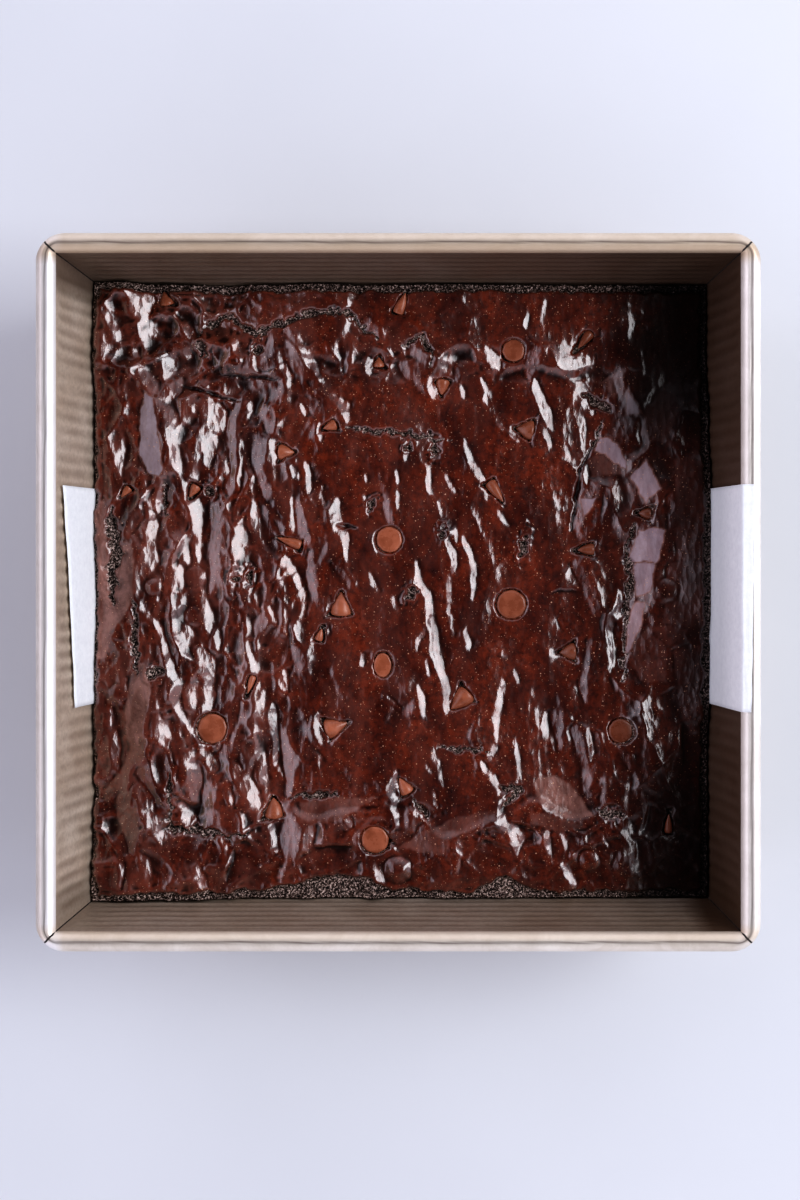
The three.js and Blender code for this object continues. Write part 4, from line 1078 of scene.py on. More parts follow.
def crack_fields(x, y):
    """How far a crack lowers each point, and how bare its crumb lies there. A crease has no bare crumb."""
    depth = np.zeros_like(x)
    bare = np.zeros_like(x)
    shift_x, shift_y = waves(x, y, 71, CRACK_LINE), waves(x, y, 73, CRACK_LINE)
    uneven = 1 + CRACK_UNEVEN * noise(x / CRACK_UNEVEN_LENGTH, y / CRACK_UNEVEN_LENGTH, 75)
    for width, *points in CRACKS:
        ragged = 1 if width > CREASE_WIDTH else CREASE_RAGGED
        ragged_x, ragged_y = x + ragged * shift_x, y + ragged * shift_y
        for number, (start, end) in enumerate(zip(points, points[1:])):
            share, away_x, away_y = segment_share(ragged_x, ragged_y, *start, *end)
            away = np.hypot(away_x, away_y)
            along = (number + share) / (len(points) - 1)
            wide = width * (CRACK_ENDS + (1 - CRACK_ENDS) * np.sin(math.pi * along)) / 2 * uneven
            sunk = CRACK_DEPTH * hump(away, 0, CRACK_FLARE * wide) * np.minimum(1, wide)
            depth = np.maximum(depth, sunk)
            if width > CREASE_WIDTH:
                bare = np.maximum(bare, rise(*CRACK_BARE, away / wide))
    return depth, bare


def turned(x, y, middle_x, middle_y, bearing):
    """Places along and across an axis that starts at a middle and runs along a bearing."""
    angle = math.radians(bearing)
    away_x, away_y = x - middle_x, y - middle_y
    along = away_x * math.cos(angle) + away_y * math.sin(angle)
    return along, away_y * math.cos(angle) - away_x * math.sin(angle)


def outside_tip(x, y, row):
    """How far a point lies outside the outline of a chip on its side."""
    base_x, base_y, length, width, bearing = row
    along, across = turned(x, y, base_x, base_y, bearing)
    slant = math.hypot(length, width / 2)
    side = (np.abs(across) - width / 2 * (1 - along / length)) * length / slant
    return np.maximum.reduce([side, -along, TIP_REACH * (along - length)])


def outside_oval(x, y, row):
    """How far a point lies outside an oval."""
    middle_x, middle_y, length, width, bearing = row
    along, across = turned(x, y, middle_x, middle_y, bearing)
    return (np.hypot(along / (length / 2), across / (width / 2)) - 1) * width / 2


def lopsided(x, y, row, seed):
    """From -0.3 to 0.3 mm round a chip, as its pocket gapes on one side."""
    toward = 2 * math.pi * float(scatter(seed, 3, 95))
    return LOPSIDED * np.cos(np.arctan2(y - row[1], x - row[0]) - toward)


def tip_pocket(x, y, row, number):
    """The skin's lift round a chip on its side, and how bare the crumb lies there."""
    away = outside_tip(x, y, row) + wobble(x, y, 200 + 2 * number) - lopsided(x, y, row, number)
    dip = POCKET_SLOPE * np.clip(POCKET_REACH - away, 0, POCKET_REACH)
    return -dip - POCKET_DEPTH * rise(*TIP_EDGE, away), rise(*TIP_BARE, away)


def torn_hole(x, y, row, number):
    """The skin's lift round a hole with a lip on one side, and how bare the crumb lies there."""
    away = outside_oval(x, y, row) + HOLE_RAGGED * wobble(x, y, 300 + 2 * number)
    lip = hump(away, *HOLE_LIP_PLACE) * rise(*HOLE_LIP_SIDE, lopsided(x, y, row, number))
    return HOLE_LIP * lip - HOLE_DEPTH * rise(*HOLE_EDGE, away), rise(*HOLE_BARE, away)


def base_pocket(x, y, row, number):
    """The skin's lift round a chip that shows its base, and how bare the crumb lies there."""
    away = outside_oval(x, y, row) + BASE_RAGGED * wobble(x, y, 400 + 2 * number)
    away = away - BASE_LOPSIDED * lopsided(x, y, row, number + 40)
    dip = POCKET_SLOPE * np.clip(BASE_POCKET_REACH - away, 0, BASE_POCKET_REACH)
    sunk = BASE_POCKET_DEPTH * rise(*BASE_EDGE, away) + BASE_SEAT_DEPTH * rise(*BASE_SEAT, away)
    return -dip - sunk, rise(*BASE_BARE, away)


# Each kind of place, how it shapes the skin, and how far it reaches, as a share of its length and a margin.
PLACES = ((TIPS, tip_pocket, 1, 4), (HOLES, torn_hole, 2, 0), (BASES, base_pocket, 1.4, 0))


def chip_relief(x, y):
    """How the chips and holes lift and sink the skin, and how bare the crumb lies round them."""
    height = np.zeros_like(x)
    bare = np.zeros_like(x)
    for rows, relief, share, margin in PLACES:
        for number, row in enumerate(rows):
            reach = margin + share * row[2]
            near = (np.abs(x - row[0]) < reach) & (np.abs(y - row[1]) < reach)
            lift, bareness = relief(x[near], y[near], row, number)
            height[near] += lift
            bare[near] = np.maximum(bare[near], bareness)
    for chip_x, chip_y, width, stand in DOMES:
        away = np.hypot(x - chip_x, y - chip_y) / (width / 2) + DOME_RAGGED * wobble(x, y, 450)
        height += stand * np.clip(1 - away ** 2, 0, 1)
    return height, bare


def table_in_plan(numbers, columns):
    """Numbers as rows of places across and down the photograph, with any widths, in the slab's plan."""
    rows = np.array(numbers, float).reshape(-1, columns)
    rows[:, 0] -= TOP_MIDDLE_PIXEL_X
    rows[:, 1] = TOP_MIDDLE_PIXEL_Y - rows[:, 1]
    return rows / TOP_PIXELS_PER_MM


def fold_places(numbers):
    """The places and widths along a fold, in millimetres."""
    rows = table_in_plan(numbers, 3)
    left = rise(*WIDER_LEFT_FROM, rows[:, 0])
    front = rise(*WIDER_FRONT_FROM, rows[:, 1])
    rows[:, 2] *= THINNER + left * (WIDER - THINNER + FRONT_WIDER * front)
    return rows


def patch_share(x, y, numbers):
    """From 0 outside a patch to 1 inside it."""
    corners = table_in_plan(numbers, 2)
    outside = np.full_like(x, -99.0)
    for (ax, ay), (bx, by) in zip(corners, np.roll(corners, -1, axis=0)):
        side = ((by - ay) * (x - ax) - (bx - ax) * (y - ay)) / math.hypot(bx - ax, by - ay)
        outside = np.maximum(outside, -side)
    return rise(0.15, -0.35, outside)


def fold_shares(x, y, places, seed):
    """From 0 outside a fold to 1 inside it, softer on one side than on the other, and its border's share."""
    inside = np.full_like(x, -9.0)
    beside = np.zeros_like(x)
    for (ax, ay, a_wide), (bx, by, b_wide) in zip(places, places[1:]):
        share, away_x, away_y = segment_share(x, y, ax, ay, bx, by)
        depth = (a_wide + share * (b_wide - a_wide)) / 2 - np.hypot(away_x, away_y)
        beside = np.where(depth > inside, away_x, beside)
        inside = np.maximum(inside, depth)
    soft = np.where(beside > 0, *(0.1 + 0.8 * scatter([seed, seed], [3, 4], 96) ** 2))
    share = rise(-0.6 * soft - 0.15, 0.2 + 0.5 * soft, inside)
    return share, rise(-BORDER_REACH - 0.6, -BORDER_REACH, inside) * (1 - share)


def settled(slope_x, slope_y, step):
    """The height field whose slopes come nearest to the ones asked for."""
    flow = np.zeros_like(slope_x)
    across = (slope_x[:, 1:] + slope_x[:, :-1]) / 2
    up = (slope_y[1:] + slope_y[:-1]) / 2
    flow[:, :-1] += across
    flow[:, 1:] -= across
    flow[:-1] += up
    flow[1:] -= up
    whole = np.block([[flow, flow[:, ::-1]], [flow[::-1], flow[::-1, ::-1]]])
    wave = 2 * np.cos(2 * math.pi * np.fft.fftfreq(len(whole))) - 2
    under = wave[:, None] + wave[None, :]
    under[0, 0] = 1
    height = np.fft.ifft2(np.fft.fft2(whole) / under).real[:len(flow), :len(flow)]
    return (height - height.mean()) * step


def layered(x, y, layers, ridge=RIDGE):
    return sum(height * facets(x, y, across, along, seed, ridge) for height, across, along, seed in layers)


def crumple(x, y):
    """The small random folds, finest in the middle, and calmer in some places at the ends."""
    ends = rise(*ENDS_FROM, np.abs(y))
    left = rise(*LEFT_FROM, x)
    right = rise(*RIGHT_FROM, x)
    middle = (1 - ends) * (1 - left) * (1 - right)
    lively = 1 + END_MORE_AT_LEFT * left
    for share, across, along in CALMER:
        lively = lively * (1 - share * rise(*across, x) * rise(*along, y))
    return (
        left * (1 - SIDE_LESS_AT_ENDS * ends) * layered(x, y, SIDE_FOLDS)
        + right * (1 - ends) * layered(x, y, RIGHT_FOLDS)
        + lively * ends * layered(x, y, END_FOLDS)
        + middle * layered(x, y, MIDDLE_FOLDS, LOW_RIDGE)
    )


class Skin:
    """The skin's slopes on a square grid, how dull it is, where a main fold shows and how firmly each place
    holds its slope."""

    def __init__(self):
        line = np.arange(-FIELD_HALF, FIELD_HALF + FIELD_STEP, FIELD_STEP)
        self.x, self.y = np.meshgrid(line, line)
        self.slope_y, self.slope_x = np.gradient(crumple(self.x, self.y), FIELD_STEP)
        self.warp_x = self.x + waves(self.x, self.y, 51, FOLD_LINE_X)
        self.warp_y = self.y + waves(self.x, self.y, 53, FOLD_LINE_Y)
        self.ripple = waves(self.x, self.y, 55, FOLD_TILT)
        self.dull = np.zeros_like(self.x)
        self.shown = np.zeros_like(self.x)
        self.held = np.full_like(self.x, REST_HELD)

    def lay(self, where, share, steep, bearing, dullness):
        """Turns a share of the skin at some places to a slope that faces a bearing."""
        turn = math.radians(bearing)
        aims = ((self.slope_x, -steep * math.cos(turn)), (self.slope_y, -steep * math.sin(turn)),
                (self.dull, dullness), (self.held, 1))
        for field, aim in aims:
            field[where] += share * (aim - field[where])
        self.shown[where] = np.maximum(self.shown[where], share)

    def lay_fold(self, number, tilt, numbers, bearing, uneven, is_dull):
        places = fold_places(numbers)
        reach = np.hypot(*np.diff(places[:, :2], axis=0).T).sum() + places[:, 2].mean()
        near = (np.abs(self.x - places[0, 0]) < reach) & (np.abs(self.y - places[0, 1]) < reach)
        share, border = fold_shares(self.warp_x[near], self.warp_y[near], places, number)
        steep = FOLD_GAIN * np.tan(np.radians(tilt + uneven * self.ripple[near]))
        self.held[near] += border * (BORDER_HELD - self.held[near])
        self.lay(near, share, steep, bearing, share if is_dull else 0)

    def lay_folds(self, folds, bearing, uneven, is_dull=False):
        for number, (tilt, *numbers) in enumerate(folds):
            self.lay_fold(number, tilt, numbers, bearing, uneven, is_dull)

    def lay_patches(self):
        for tilt, bearing, dullness, *numbers in PATCHES:
            share = patch_share(self.warp_x, self.warp_y, numbers)
            steep = np.tan(np.radians(tilt + PATCH_UNEVEN * self.ripple))
            self.lay(..., share, steep, bearing, dullness)

    def clear_domes(self):
        """Takes the folds off the chips that the skin covers."""
        for chip_x, chip_y, width, _ in DOMES:
            share = rise(1.15, 0.85, np.hypot(self.x - chip_x, self.y - chip_y) / (width / 2))
            self.lay(..., share, 0, 0, self.dull)

    def heights(self):
        """The heights that give the held slopes, while the rest of the skin settles round them."""
        ask_x, ask_y = self.slope_x, self.slope_y
        for _ in range(SETTLE_ROUNDS):
            height = settled(ask_x, ask_y, FIELD_STEP)
            up, along = np.gradient(height, FIELD_STEP)
            ask_x = self.held * self.slope_x + (1 - self.held) * along
            ask_y = self.held * self.slope_y + (1 - self.held) * up
        return height


def fold_fields():
    """The folds' heights on a square grid, how dull the skin is there and where a main fold shows."""
    skin = Skin()
    skin.lay_folds(DULL_FOLDS, SHADE_BEARING, SHADE_UNEVEN, is_dull=True)
    skin.lay_folds(SHADE_FOLDS, SHADE_BEARING, SHADE_UNEVEN)
    skin.lay_folds(WINDOW_FOLDS, WINDOW_BEARING, 1)
    skin.lay_patches()
    skin.clear_domes()
    return skin.heights(), skin.dull, skin.shown


FOLD_HEIGHTS, FOLD_DULLNESS, FOLD_SHOWN = fold_fields()


def field_at(field, x, y):
    """A field's value between its grid's points."""
    column = np.clip((x + FIELD_HALF) / FIELD_STEP, 0, field.shape[1] - 1.001)
    row = np.clip((y + FIELD_HALF) / FIELD_STEP, 0, field.shape[0] - 1.001)
    c, r = column.astype(int), row.astype(int)
    along, up = column - c, row - r
    low = field[r, c] * (1 - along) + field[r, c + 1] * along
    high = field[r + 1, c] * (1 - along) + field[r + 1, c + 1] * along
    return low * (1 - up) + high * up


def edge_distance(x, y, inset):
    """How far a point lies inside the slab's ragged edge."""
    torn = sum(wide * hump(x, middle, length) for wide, middle, length in FRONT_TORN)
    share, middle, length = FRONT_WHOLE
    edge = inset + waves(x, y, 11, SLAB_EDGE)
    edge = edge - np.where(y < FRONT_TORN_Y, torn, 0) * (1 - share * hump(x, middle, length))
    return edge + LEFT_WHOLE * rise(-80, -88, x) * rise(96, 88, np.abs(y))


def skin_relief(x, y):
    """The skin's height over the tin's underside and how bare the crumb lies, at points of its plan."""
    inset = np.minimum(cavity_x(SLAB_TOP) - np.abs(x), cavity_y(SLAB_TOP) - np.abs(y))
    swell = sum(height * noise(x / length + shift, y / length + shift, 5 + number)
                for number, (height, length, shift) in enumerate(SWELLS))
    ragged = inset + BORDER_BEND * noise(x / BORDER_BEND_LENGTH, y / BORDER_BEND_LENGTH, 9)
    border = BORDER_RISE * rise(BORDER_WIDTH + BORDER_SOFT, BORDER_WIDTH - BORDER_SOFT, ragged)
    edge = edge_distance(x, y, inset)
    chip_lift, chip_bare = chip_relief(x, y)
    crack_depth, crack_bare = crack_fields(x, y)
    height = SLAB_TOP + swell + border - EDGE_DROP * rise(*EDGE_FALL, edge)
    height = height + field_at(FOLD_HEIGHTS, x, y) + chip_lift - crack_depth
    bare = np.maximum.reduce([rise(*EDGE_BARE, edge), chip_bare, crack_bare])
    return height + bare * waves(x, y, 81, BARE_CRUMB), bare


# The shades at the right wall's two corners and between them: how dark, and from where to where across X
# and Y.
SHADES = (
    (0.95, (60, 82), (25, 62)),
    (0.9, (62, 84), (-42, -68)),
    (0.6, (84, 95), EVERYWHERE),
)

# The painted shade in recesses, wide and narrow: how dark, from what depth to what depth, and how many cells
# it reaches. A main fold clears it by a share.
HOLLOW_SHADES = ((0.95, (-0.05, 0.55), 7), (0.9, (0.01, 0.10), 2))
FOLD_CLEARS = 0.8
SKIN_CELLS = 440
TORN_SHARE = 0.55


def shade_at(x, y):
    """From 0 to 1 as a place lies in the dark under the right wall, widest at its two corners."""
    ragged_x = x + waves(x, y, 121, SHADE_EDGE)
    return np.maximum.reduce([
        dark * rise(*along, y) * rise(*across, ragged_x) for dark, across, along in SHADES
    ])


def below_surroundings(z, reach):
    """How far each point of a grid lies under the middle level of the cells round it."""
    steps = range(2 * reach + 1)
    level = np.pad(z, reach, mode="edge")
    level = sum(level[k:k + z.shape[0]] for k in steps) / len(steps)
    return sum(level[:, k:k + z.shape[1]] for k in steps) / len(steps) - z


def hollow_shade_at(z):
    """From 0 to 1 as a place lies below the cells round it, widely or as narrowly as a crease: painted
    shade.
    """
    return np.maximum.reduce([
        dark * rise(*depths, below_surroundings(z, reach)) for dark, depths, reach in HOLLOW_SHADES
    ])


def point_normals(points, faces):
    """Smooth normals over a whole mesh, so that the pieces it is cut into meet without a line."""
    corners = points[faces]
    face_normals = np.cross(corners[:, 2] - corners[:, 0], corners[:, 3] - corners[:, 1])
    sums = np.zeros_like(points)
    for corner in range(4):
        for axis in range(3):
            sums[:, axis] += np.bincount(faces[:, corner], face_normals[:, axis], len(points))
    return sums / np.maximum(np.linalg.norm(sums, axis=1, keepdims=True), 1e-12)


def slab_body():
    """The slab as one closed body: its points, its quads, and the values that its materials read."""
    n = SKIN_CELLS + 1
    u, v = np.meshgrid(np.linspace(-1, 1, n), np.linspace(-1, 1, n))
    x, y = u * (cavity_x(SLAB_TOP) - SLAB_GAP), v * (cavity_y(SLAB_TOP) - SLAB_GAP)
    z, bare = skin_relief(x, y)
    top = np.stack([u * (cavity_x(z) - SLAB_GAP), v * (cavity_y(z) - SLAB_GAP), z], -1).reshape(-1, 3)
    ring = grid_border(n, n)
    foot_x = u.ravel()[ring] * (cavity_x(SLAB_BOTTOM) - SLAB_GAP)
    foot_y = v.ravel()[ring] * (cavity_y(SLAB_BOTTOM) - SLAB_GAP)
    foot = np.column_stack([foot_x, foot_y, np.full(len(ring), SLAB_BOTTOM)])
    points = np.concatenate([top, foot, [[0, 0, SLAB_BOTTOM]]])
    here = len(top) + np.arange(len(ring))
    after = np.roll(here, -1)
    sides = np.stack([np.roll(ring, -1), ring, here, after], -1)
    middle = np.full(len(ring) // 2, len(points) - 1)
    fan = np.stack([np.roll(after, -1)[::2], after[::2], here[::2], middle], -1)
    faces = np.concatenate([grid_faces(n, n), sides, fan])

    def on_all(value, below):
        return np.concatenate([value.ravel(), np.full(len(points) - len(top), float(below))])

    values = {
        "crumb": on_all(bare, 1),
        # Painted shade in recesses, cleared where a main fold shows.
        "hollow_shade": on_all(hollow_shade_at(z) * (1 - FOLD_CLEARS * field_at(FOLD_SHOWN, x, y)), 0),
        "dull": on_all(field_at(FOLD_DULLNESS, x, y), 0),
        "shade": shade_at(points[:, 0], points[:, 1]),
    }
    return points, faces, values


def slab(skin, crumb):
    """The slab in three pieces: the skin's halves, and the torn crumb with the sides."""
    points, faces, values = slab_body()
    normals = point_normals(points, faces)
    torn = values["crumb"][faces].mean(1) > TORN_SHARE
    on_left = points[faces, 0].mean(1) < 0
    for name, chosen, material, slot in (
        ("brownie_skin_left", ~torn & on_left, skin, "brownie_skin"),
        ("brownie_skin_right", ~torn & ~on_left, skin, "brownie_skin"),
        ("brownie_torn", torn, crumb, "brownie_crumb"),
    ):
        used, numbered = np.unique(faces[chosen], return_inverse=True)
        made = mesh_object(name, points[used], numbered.reshape(-1, 4), material)
        for key, value in values.items():
            give_values(made, key, value[used])
        made.data.normals_split_custom_set_from_vertices(normals[used].tolist())
        finish_piece(made, "brownie")


# Chips and crumbs

CHIP_OUTLINE = np.array([
    (0, 0), (0.45, 0.012), (0.8, 0), (0.95, 0.03), (1, 0.11), (0.95, 0.24),
    (0.84, 0.4), (0.66, 0.57), (0.43, 0.74), (0.22, 0.87), (0.08, 0.95), (0, 0.97),
])
CHIP_SIDES = 26
CHIP_LUMP = 0.05
CHIP_FACES = grid_faces(len(CHIP_OUTLINE), CHIP_SIDES, close_columns=True)
TIP_PITCH = 13
TIP_WIDER = 0.4
TIP_SUNK = 0.42
TIP_RING = 2.2
BASE_SQUATNESS = 0.8
BASE_WIDER = 0.3
BASE_SUNK = 0.3
BASE_RING = 1.6
BASE_LEAN = 0.12


def chip_points(length, width, seed):
    """A chip with its base's middle at the origin and its tip along +X, slightly lumpy."""
    radius, along = CHIP_OUTLINE[:, :1], CHIP_OUTLINE[:, 1:] * length
    angle = np.linspace(0, 2 * math.pi, CHIP_SIDES, endpoint=False)[None, :]
    lump = 1 + CHIP_LUMP * noise(3 * np.cos(angle) + 9 * seed, 3 * np.sin(angle) + along / 3, 91)
    across = radius * np.cos(angle) * lump * width / 2
    up = radius * np.sin(angle) * lump * width / 2
    return np.stack([along + 0 * angle, across, up], -1).reshape(-1, 3)


def turn_points(points, pitch, bearing):
    """Points with their +X end tipped up by a pitch and then turned to a bearing, in degrees."""
    p, b = math.radians(pitch), math.radians(bearing)
    x, y, z = points.T
    x, z = x * math.cos(p) - z * math.sin(p), x * math.sin(p) + z * math.cos(p)
    return np.stack([x * math.cos(b) - y * math.sin(b), x * math.sin(b) + y * math.cos(b), z], -1)


def level_round(x, y, reach):
    """The skin's middle level in a ring round a place."""
    angle = np.linspace(0, 2 * math.pi, 16, endpoint=False)
    return np.median(skin_relief(x + reach * np.cos(angle), y + reach * np.sin(angle))[0])


def side_chip(number, x, y, length, width, bearing):
    middle_x = x + length / 2 * math.cos(math.radians(bearing))
    middle_y = y + length / 2 * math.sin(math.radians(bearing))
    level = level_round(middle_x, middle_y, length / 2 + TIP_RING)
    points = turn_points(chip_points(length, width + TIP_WIDER, number), TIP_PITCH, bearing)
    return points + (x, y, level - TIP_SUNK * width)


def base_chip(number, x, y, length, width, bearing):
    level = level_round(x, y, length / 2 + BASE_RING)
    points = turn_points(chip_points(BASE_SQUATNESS * width, width + BASE_WIDER, 40 + number), -90, 0)
    points[:, 0] *= length / width
    points = turn_points(points, 0, bearing)
    lean_x, lean_y = scatter(number, 1, 93) - 0.5, scatter(number, 2, 93) - 0.5
    points[:, 2] += BASE_LEAN * (lean_x * points[:, 0] + lean_y * points[:, 1])
    return points + (x, y, level - BASE_SUNK)


def chips(material):
    parts = [(side_chip(number, *row), CHIP_FACES) for number, row in enumerate(TIPS)]
    parts += [(base_chip(number, *row), CHIP_FACES) for number, row in enumerate(BASES)]
    finish_piece(mesh_object("chips", *merged(parts), material), None)


def lump_shape():
    """A twenty-sided lump of unit size: points and triangles."""
    golden = (1 + math.sqrt(5)) / 2
    corners = []
    for a in (-1, 1):
        for b in (-golden, golden):
            corners += [(0, a, b), (a, b, 0), (b, 0, a)]
    points = np.array(corners, float) / math.hypot(1, golden)
    edge = 2 / math.hypot(1, golden) * 1.05
    faces = []
    for i, j, k in combinations(range(len(points)), 3):
        a, b, c = points[i], points[j], points[k]
        if max(np.linalg.norm(a - b), np.linalg.norm(b - c), np.linalg.norm(c - a)) < edge:
            outward = np.dot(np.cross(b - a, c - a), a + b + c) > 0
            faces.append((i, j, k) if outward else (i, k, j))
    return points, np.array(faces)


# Crumbs: how many places are tried, how wide their band is along the walls, how bare the crumb has to lie,
# their smallest radius, how much larger the largest are, and how far they stand up.
CRUMB_TRIES = 16000
CRUMB_BAND = 4.2
CRUMB_OFF_WALL = 0.9
CRUMB_BARE = 0.6
CRUMB_SIZE = 0.16
CRUMB_LARGER = 0.42
CRUMB_STANDS = 0.25


def crumb_places():
    """Places along the four walls for half of the tries, and anywhere on the slab for the rest."""
    index = np.arange(CRUMB_TRIES)
    round_walls, depth, free_x, free_y = (scatter(index, 7, seed) for seed in (101, 102, 103, 104))
    half_x, half_y = cavity_x(SLAB_TOP) - CRUMB_OFF_WALL, cavity_y(SLAB_TOP) - CRUMB_OFF_WALL
    inset = CRUMB_BAND * depth ** 1.3
    place = 2 * (4 * round_walls % 1) - 1
    wall = np.floor(4 * round_walls).astype(int)
    x = np.choose(wall, [place * half_x, half_x - inset, place * half_x, -half_x + inset])
    y = np.choose(wall, [-half_y + inset, place * half_y, half_y - inset, place * half_y])
    free = index >= CRUMB_TRIES / 2
    x = np.where(free, (2 * free_x - 1) * half_x, x)
    y = np.where(free, (2 * free_y - 1) * half_y, y)
    return x, y


def crumbs(material):
    """Crumbs wherever the crumb lies bare: along the walls, in cracks and in pockets."""
    lump, triangles = lump_shape()
    x, y = crumb_places()
    z, bare = skin_relief(x, y)
    index = np.flatnonzero(bare > CRUMB_BARE)
    size = CRUMB_SIZE + CRUMB_LARGER * scatter(index, 7, 105) ** 2.2
    jitter = 0.7 + 0.6 * scatter(index[:, None], np.arange(len(lump))[None, :], 106)
    middles = np.stack([x[index], y[index], z[index] + CRUMB_STANDS * size], -1)
    points = (lump[None] * jitter[:, :, None] * size[:, None, None] + middles[:, None, :]).reshape(-1, 3)
    faces = triangles[None] + len(lump) * np.arange(len(index))[:, None, None]
    made = mesh_object("crumbs", points, faces.reshape(-1, 3), material, smooth=False)
    give_values(made, "shade", shade_at(points[:, 0], points[:, 1]))
    finish_piece(made, None)


# The tin, with its flutes, rolled rim and folded corners

CORNERS = ((1, 1), (-1, 1), (-1, -1), (1, -1))
FLUTES_END_ALONG = (0.985, 0.90)
FLUTES_END_DOWN = (0.995, 0.95)
WALL_BUCKLE = 0.12
WALL_BUCKLE_LENGTH = 25
RIM_SIDES = 44
RIM_GROOVE = 0.47
RIM_GROOVE_WIDTH = 0.055
RIM_GROOVE_DEPTH = 0.28
RIM_WAVER = 0.14
RIM_WAVER_LENGTH = 11
RIM_STEPS = 14
RIM_STRAIGHT = 30
SEAM_WIDTH = 0.55
SEAM_DOWN_WIDER = 1.5
SEAM_INWARD = 0.12
SEAM_OFF_WALL = 0.05
SEAM_WAVER = 0.1


def flute(place, clear):
    """How far a flute lies out from the wall's face, where clear is 1, and 0 where the wall is plain."""
    return FLUTE_DEPTH * (0.5 - 0.5 * np.cos(2 * math.pi * place / FLUTE_PITCH)) * clear


def wall_points(along_x, out, low, rows, columns):
    """One face of one wall, at +Y if it runs along X or else at +X, moved out, and where its grooves are."""
    z, share = np.meshgrid(np.linspace(low, RIM_MIDDLE, rows), np.linspace(-1, 1, columns), indexing="ij")
    clear = rise(BAND_BOTTOM + 0.5, BAND_BOTTOM - 1.5, z) * rise(low, low + 1.6, z)
    buckle = rise(0, 0.1, 1 - np.abs(share)) * rise(low, low + 6, z) * rise(RIM_MIDDLE, RIM_MIDDLE - 5, z)
    if along_x:
        reach, half = cavity_y(z) + out, cavity_x(z) + out
        offset, seed = flute(z - low, clear * rise(*FLUTES_END_ALONG, np.abs(share))), 501
    else:
        reach, half = cavity_x(z) + out, cavity_y(z) + out
        offset, seed = flute(share * half, clear * rise(*FLUTES_END_DOWN, np.abs(share))), 502
    away = reach + offset + WALL_BUCKLE * buckle * noise(share * 7, z / WALL_BUCKLE_LENGTH, seed)
    sheet = (share * half, away, z) if along_x else (away, -share * half, z)
    return np.stack(sheet, -1).reshape(-1, 3), (offset / FLUTE_DEPTH).ravel()


def tin_walls(material):
    parts, grooves, insides = [], [], []

    def lay(points, faces, groove_and_shade, inward):
        parts.append((points, faces if inward else faces[:, ::-1]))
        grooves.append(groove_and_shade)
        insides.append(np.full(len(points), float(inward)))

    for out, low, inward in ((0, SHEET, True), (SHEET, 0.0, False)):
        for along_x, rows, columns in ((True, 105, 61), (False, 12, 403)):
            for turn in (1, -1):
                points, groove_and_shade = wall_points(along_x, out, low, rows, columns)
                lay(points * (turn, turn, 1), grid_faces(rows, columns), groove_and_shade, inward)
        half = (cavity_x(low) + out, cavity_y(low) + out)
        plate = np.column_stack([np.array(CORNERS) * half, np.full(4, low)])
        lay(plate, np.array([[0, 1, 2, 3]]), np.zeros(4), inward)
    made = mesh_object("tin_walls", *merged(parts), material)
    give_values(made, "groove_and_shade", np.concatenate(grooves))
    give_values(made, "inside", np.concatenate(insides))
    finish_piece(made, "baking_tin")


def rim_path():
    """The rim's inner and outer edges, station by station round the tin."""
    arcs = []
    for corner, (sx, sy) in enumerate(CORNERS):
        angle = (corner + np.linspace(0, 1, RIM_STEPS + 1)) * math.pi / 2
        outer_x = sx * (TIN_X / 2 - RIM_CORNER) + RIM_CORNER * np.cos(angle)
        outer_y = sy * (TIN_Y / 2 - RIM_CORNER) + RIM_CORNER * np.sin(angle)
        inner = np.tile((sx * OPENING_X / 2, sy * OPENING_Y / 2), (RIM_STEPS + 1, 1))
        arcs.append(np.hstack([inner, np.stack([outer_x, outer_y], -1)]))
    stations = []
    for corner, arc in enumerate(arcs):
        share = np.linspace(0, 1, RIM_STRAIGHT + 1)[1:-1, None]
        stations += [arc, arc[-1] * (1 - share) + arcs[(corner + 1) % 4][0] * share]
    stations = np.concatenate(stations)
    return stations[:, :2], stations[:, 2:]


def rim_points(inner, outer, round_angle, proud=0.0):
    """Points on the roll's oval section between an inner and an outer edge."""
    share = (1 - np.cos(round_angle)) / 2
    lifted = RIM_MIDDLE + (RIM_HEIGHT / 2 + proud) * np.sin(round_angle)
    flat = inner[:, None, :] * (1 - share)[None, :, None] + outer[:, None, :] * share[None, :, None]
    return np.concatenate([flat, np.broadcast_to(lifted[None, :, None], flat.shape[:2] + (1,))], -1)


def tin_rim(material):
    inner, outer = rim_path()
    angle = np.linspace(0, 2 * math.pi, RIM_SIDES, endpoint=False)
    points = rim_points(inner, outer, angle)
    waver = RIM_WAVER * noise(points[:, :, 0] / RIM_WAVER_LENGTH, points[:, :, 1] / RIM_WAVER_LENGTH, 511)
    around = (1 - np.cos(angle))[None, :] / 2 + 0.3 * waver
    groove_and_shade = hump(around, RIM_GROOVE, RIM_GROOVE_WIDTH) * (np.sin(angle) > 0)[None, :]
    points[:, :, 2] -= RIM_GROOVE_DEPTH * groove_and_shade + np.abs(waver) * np.clip(np.sin(angle), 0, 1)[None, :]
    faces = grid_faces(len(inner), RIM_SIDES, close_rows=True, close_columns=True)
    made = mesh_object("tin_rim", points.reshape(-1, 3), faces, material)
    give_values(made, "groove_and_shade", 0.8 * groove_and_shade.ravel())
    finish_piece(made, "baking_tin")


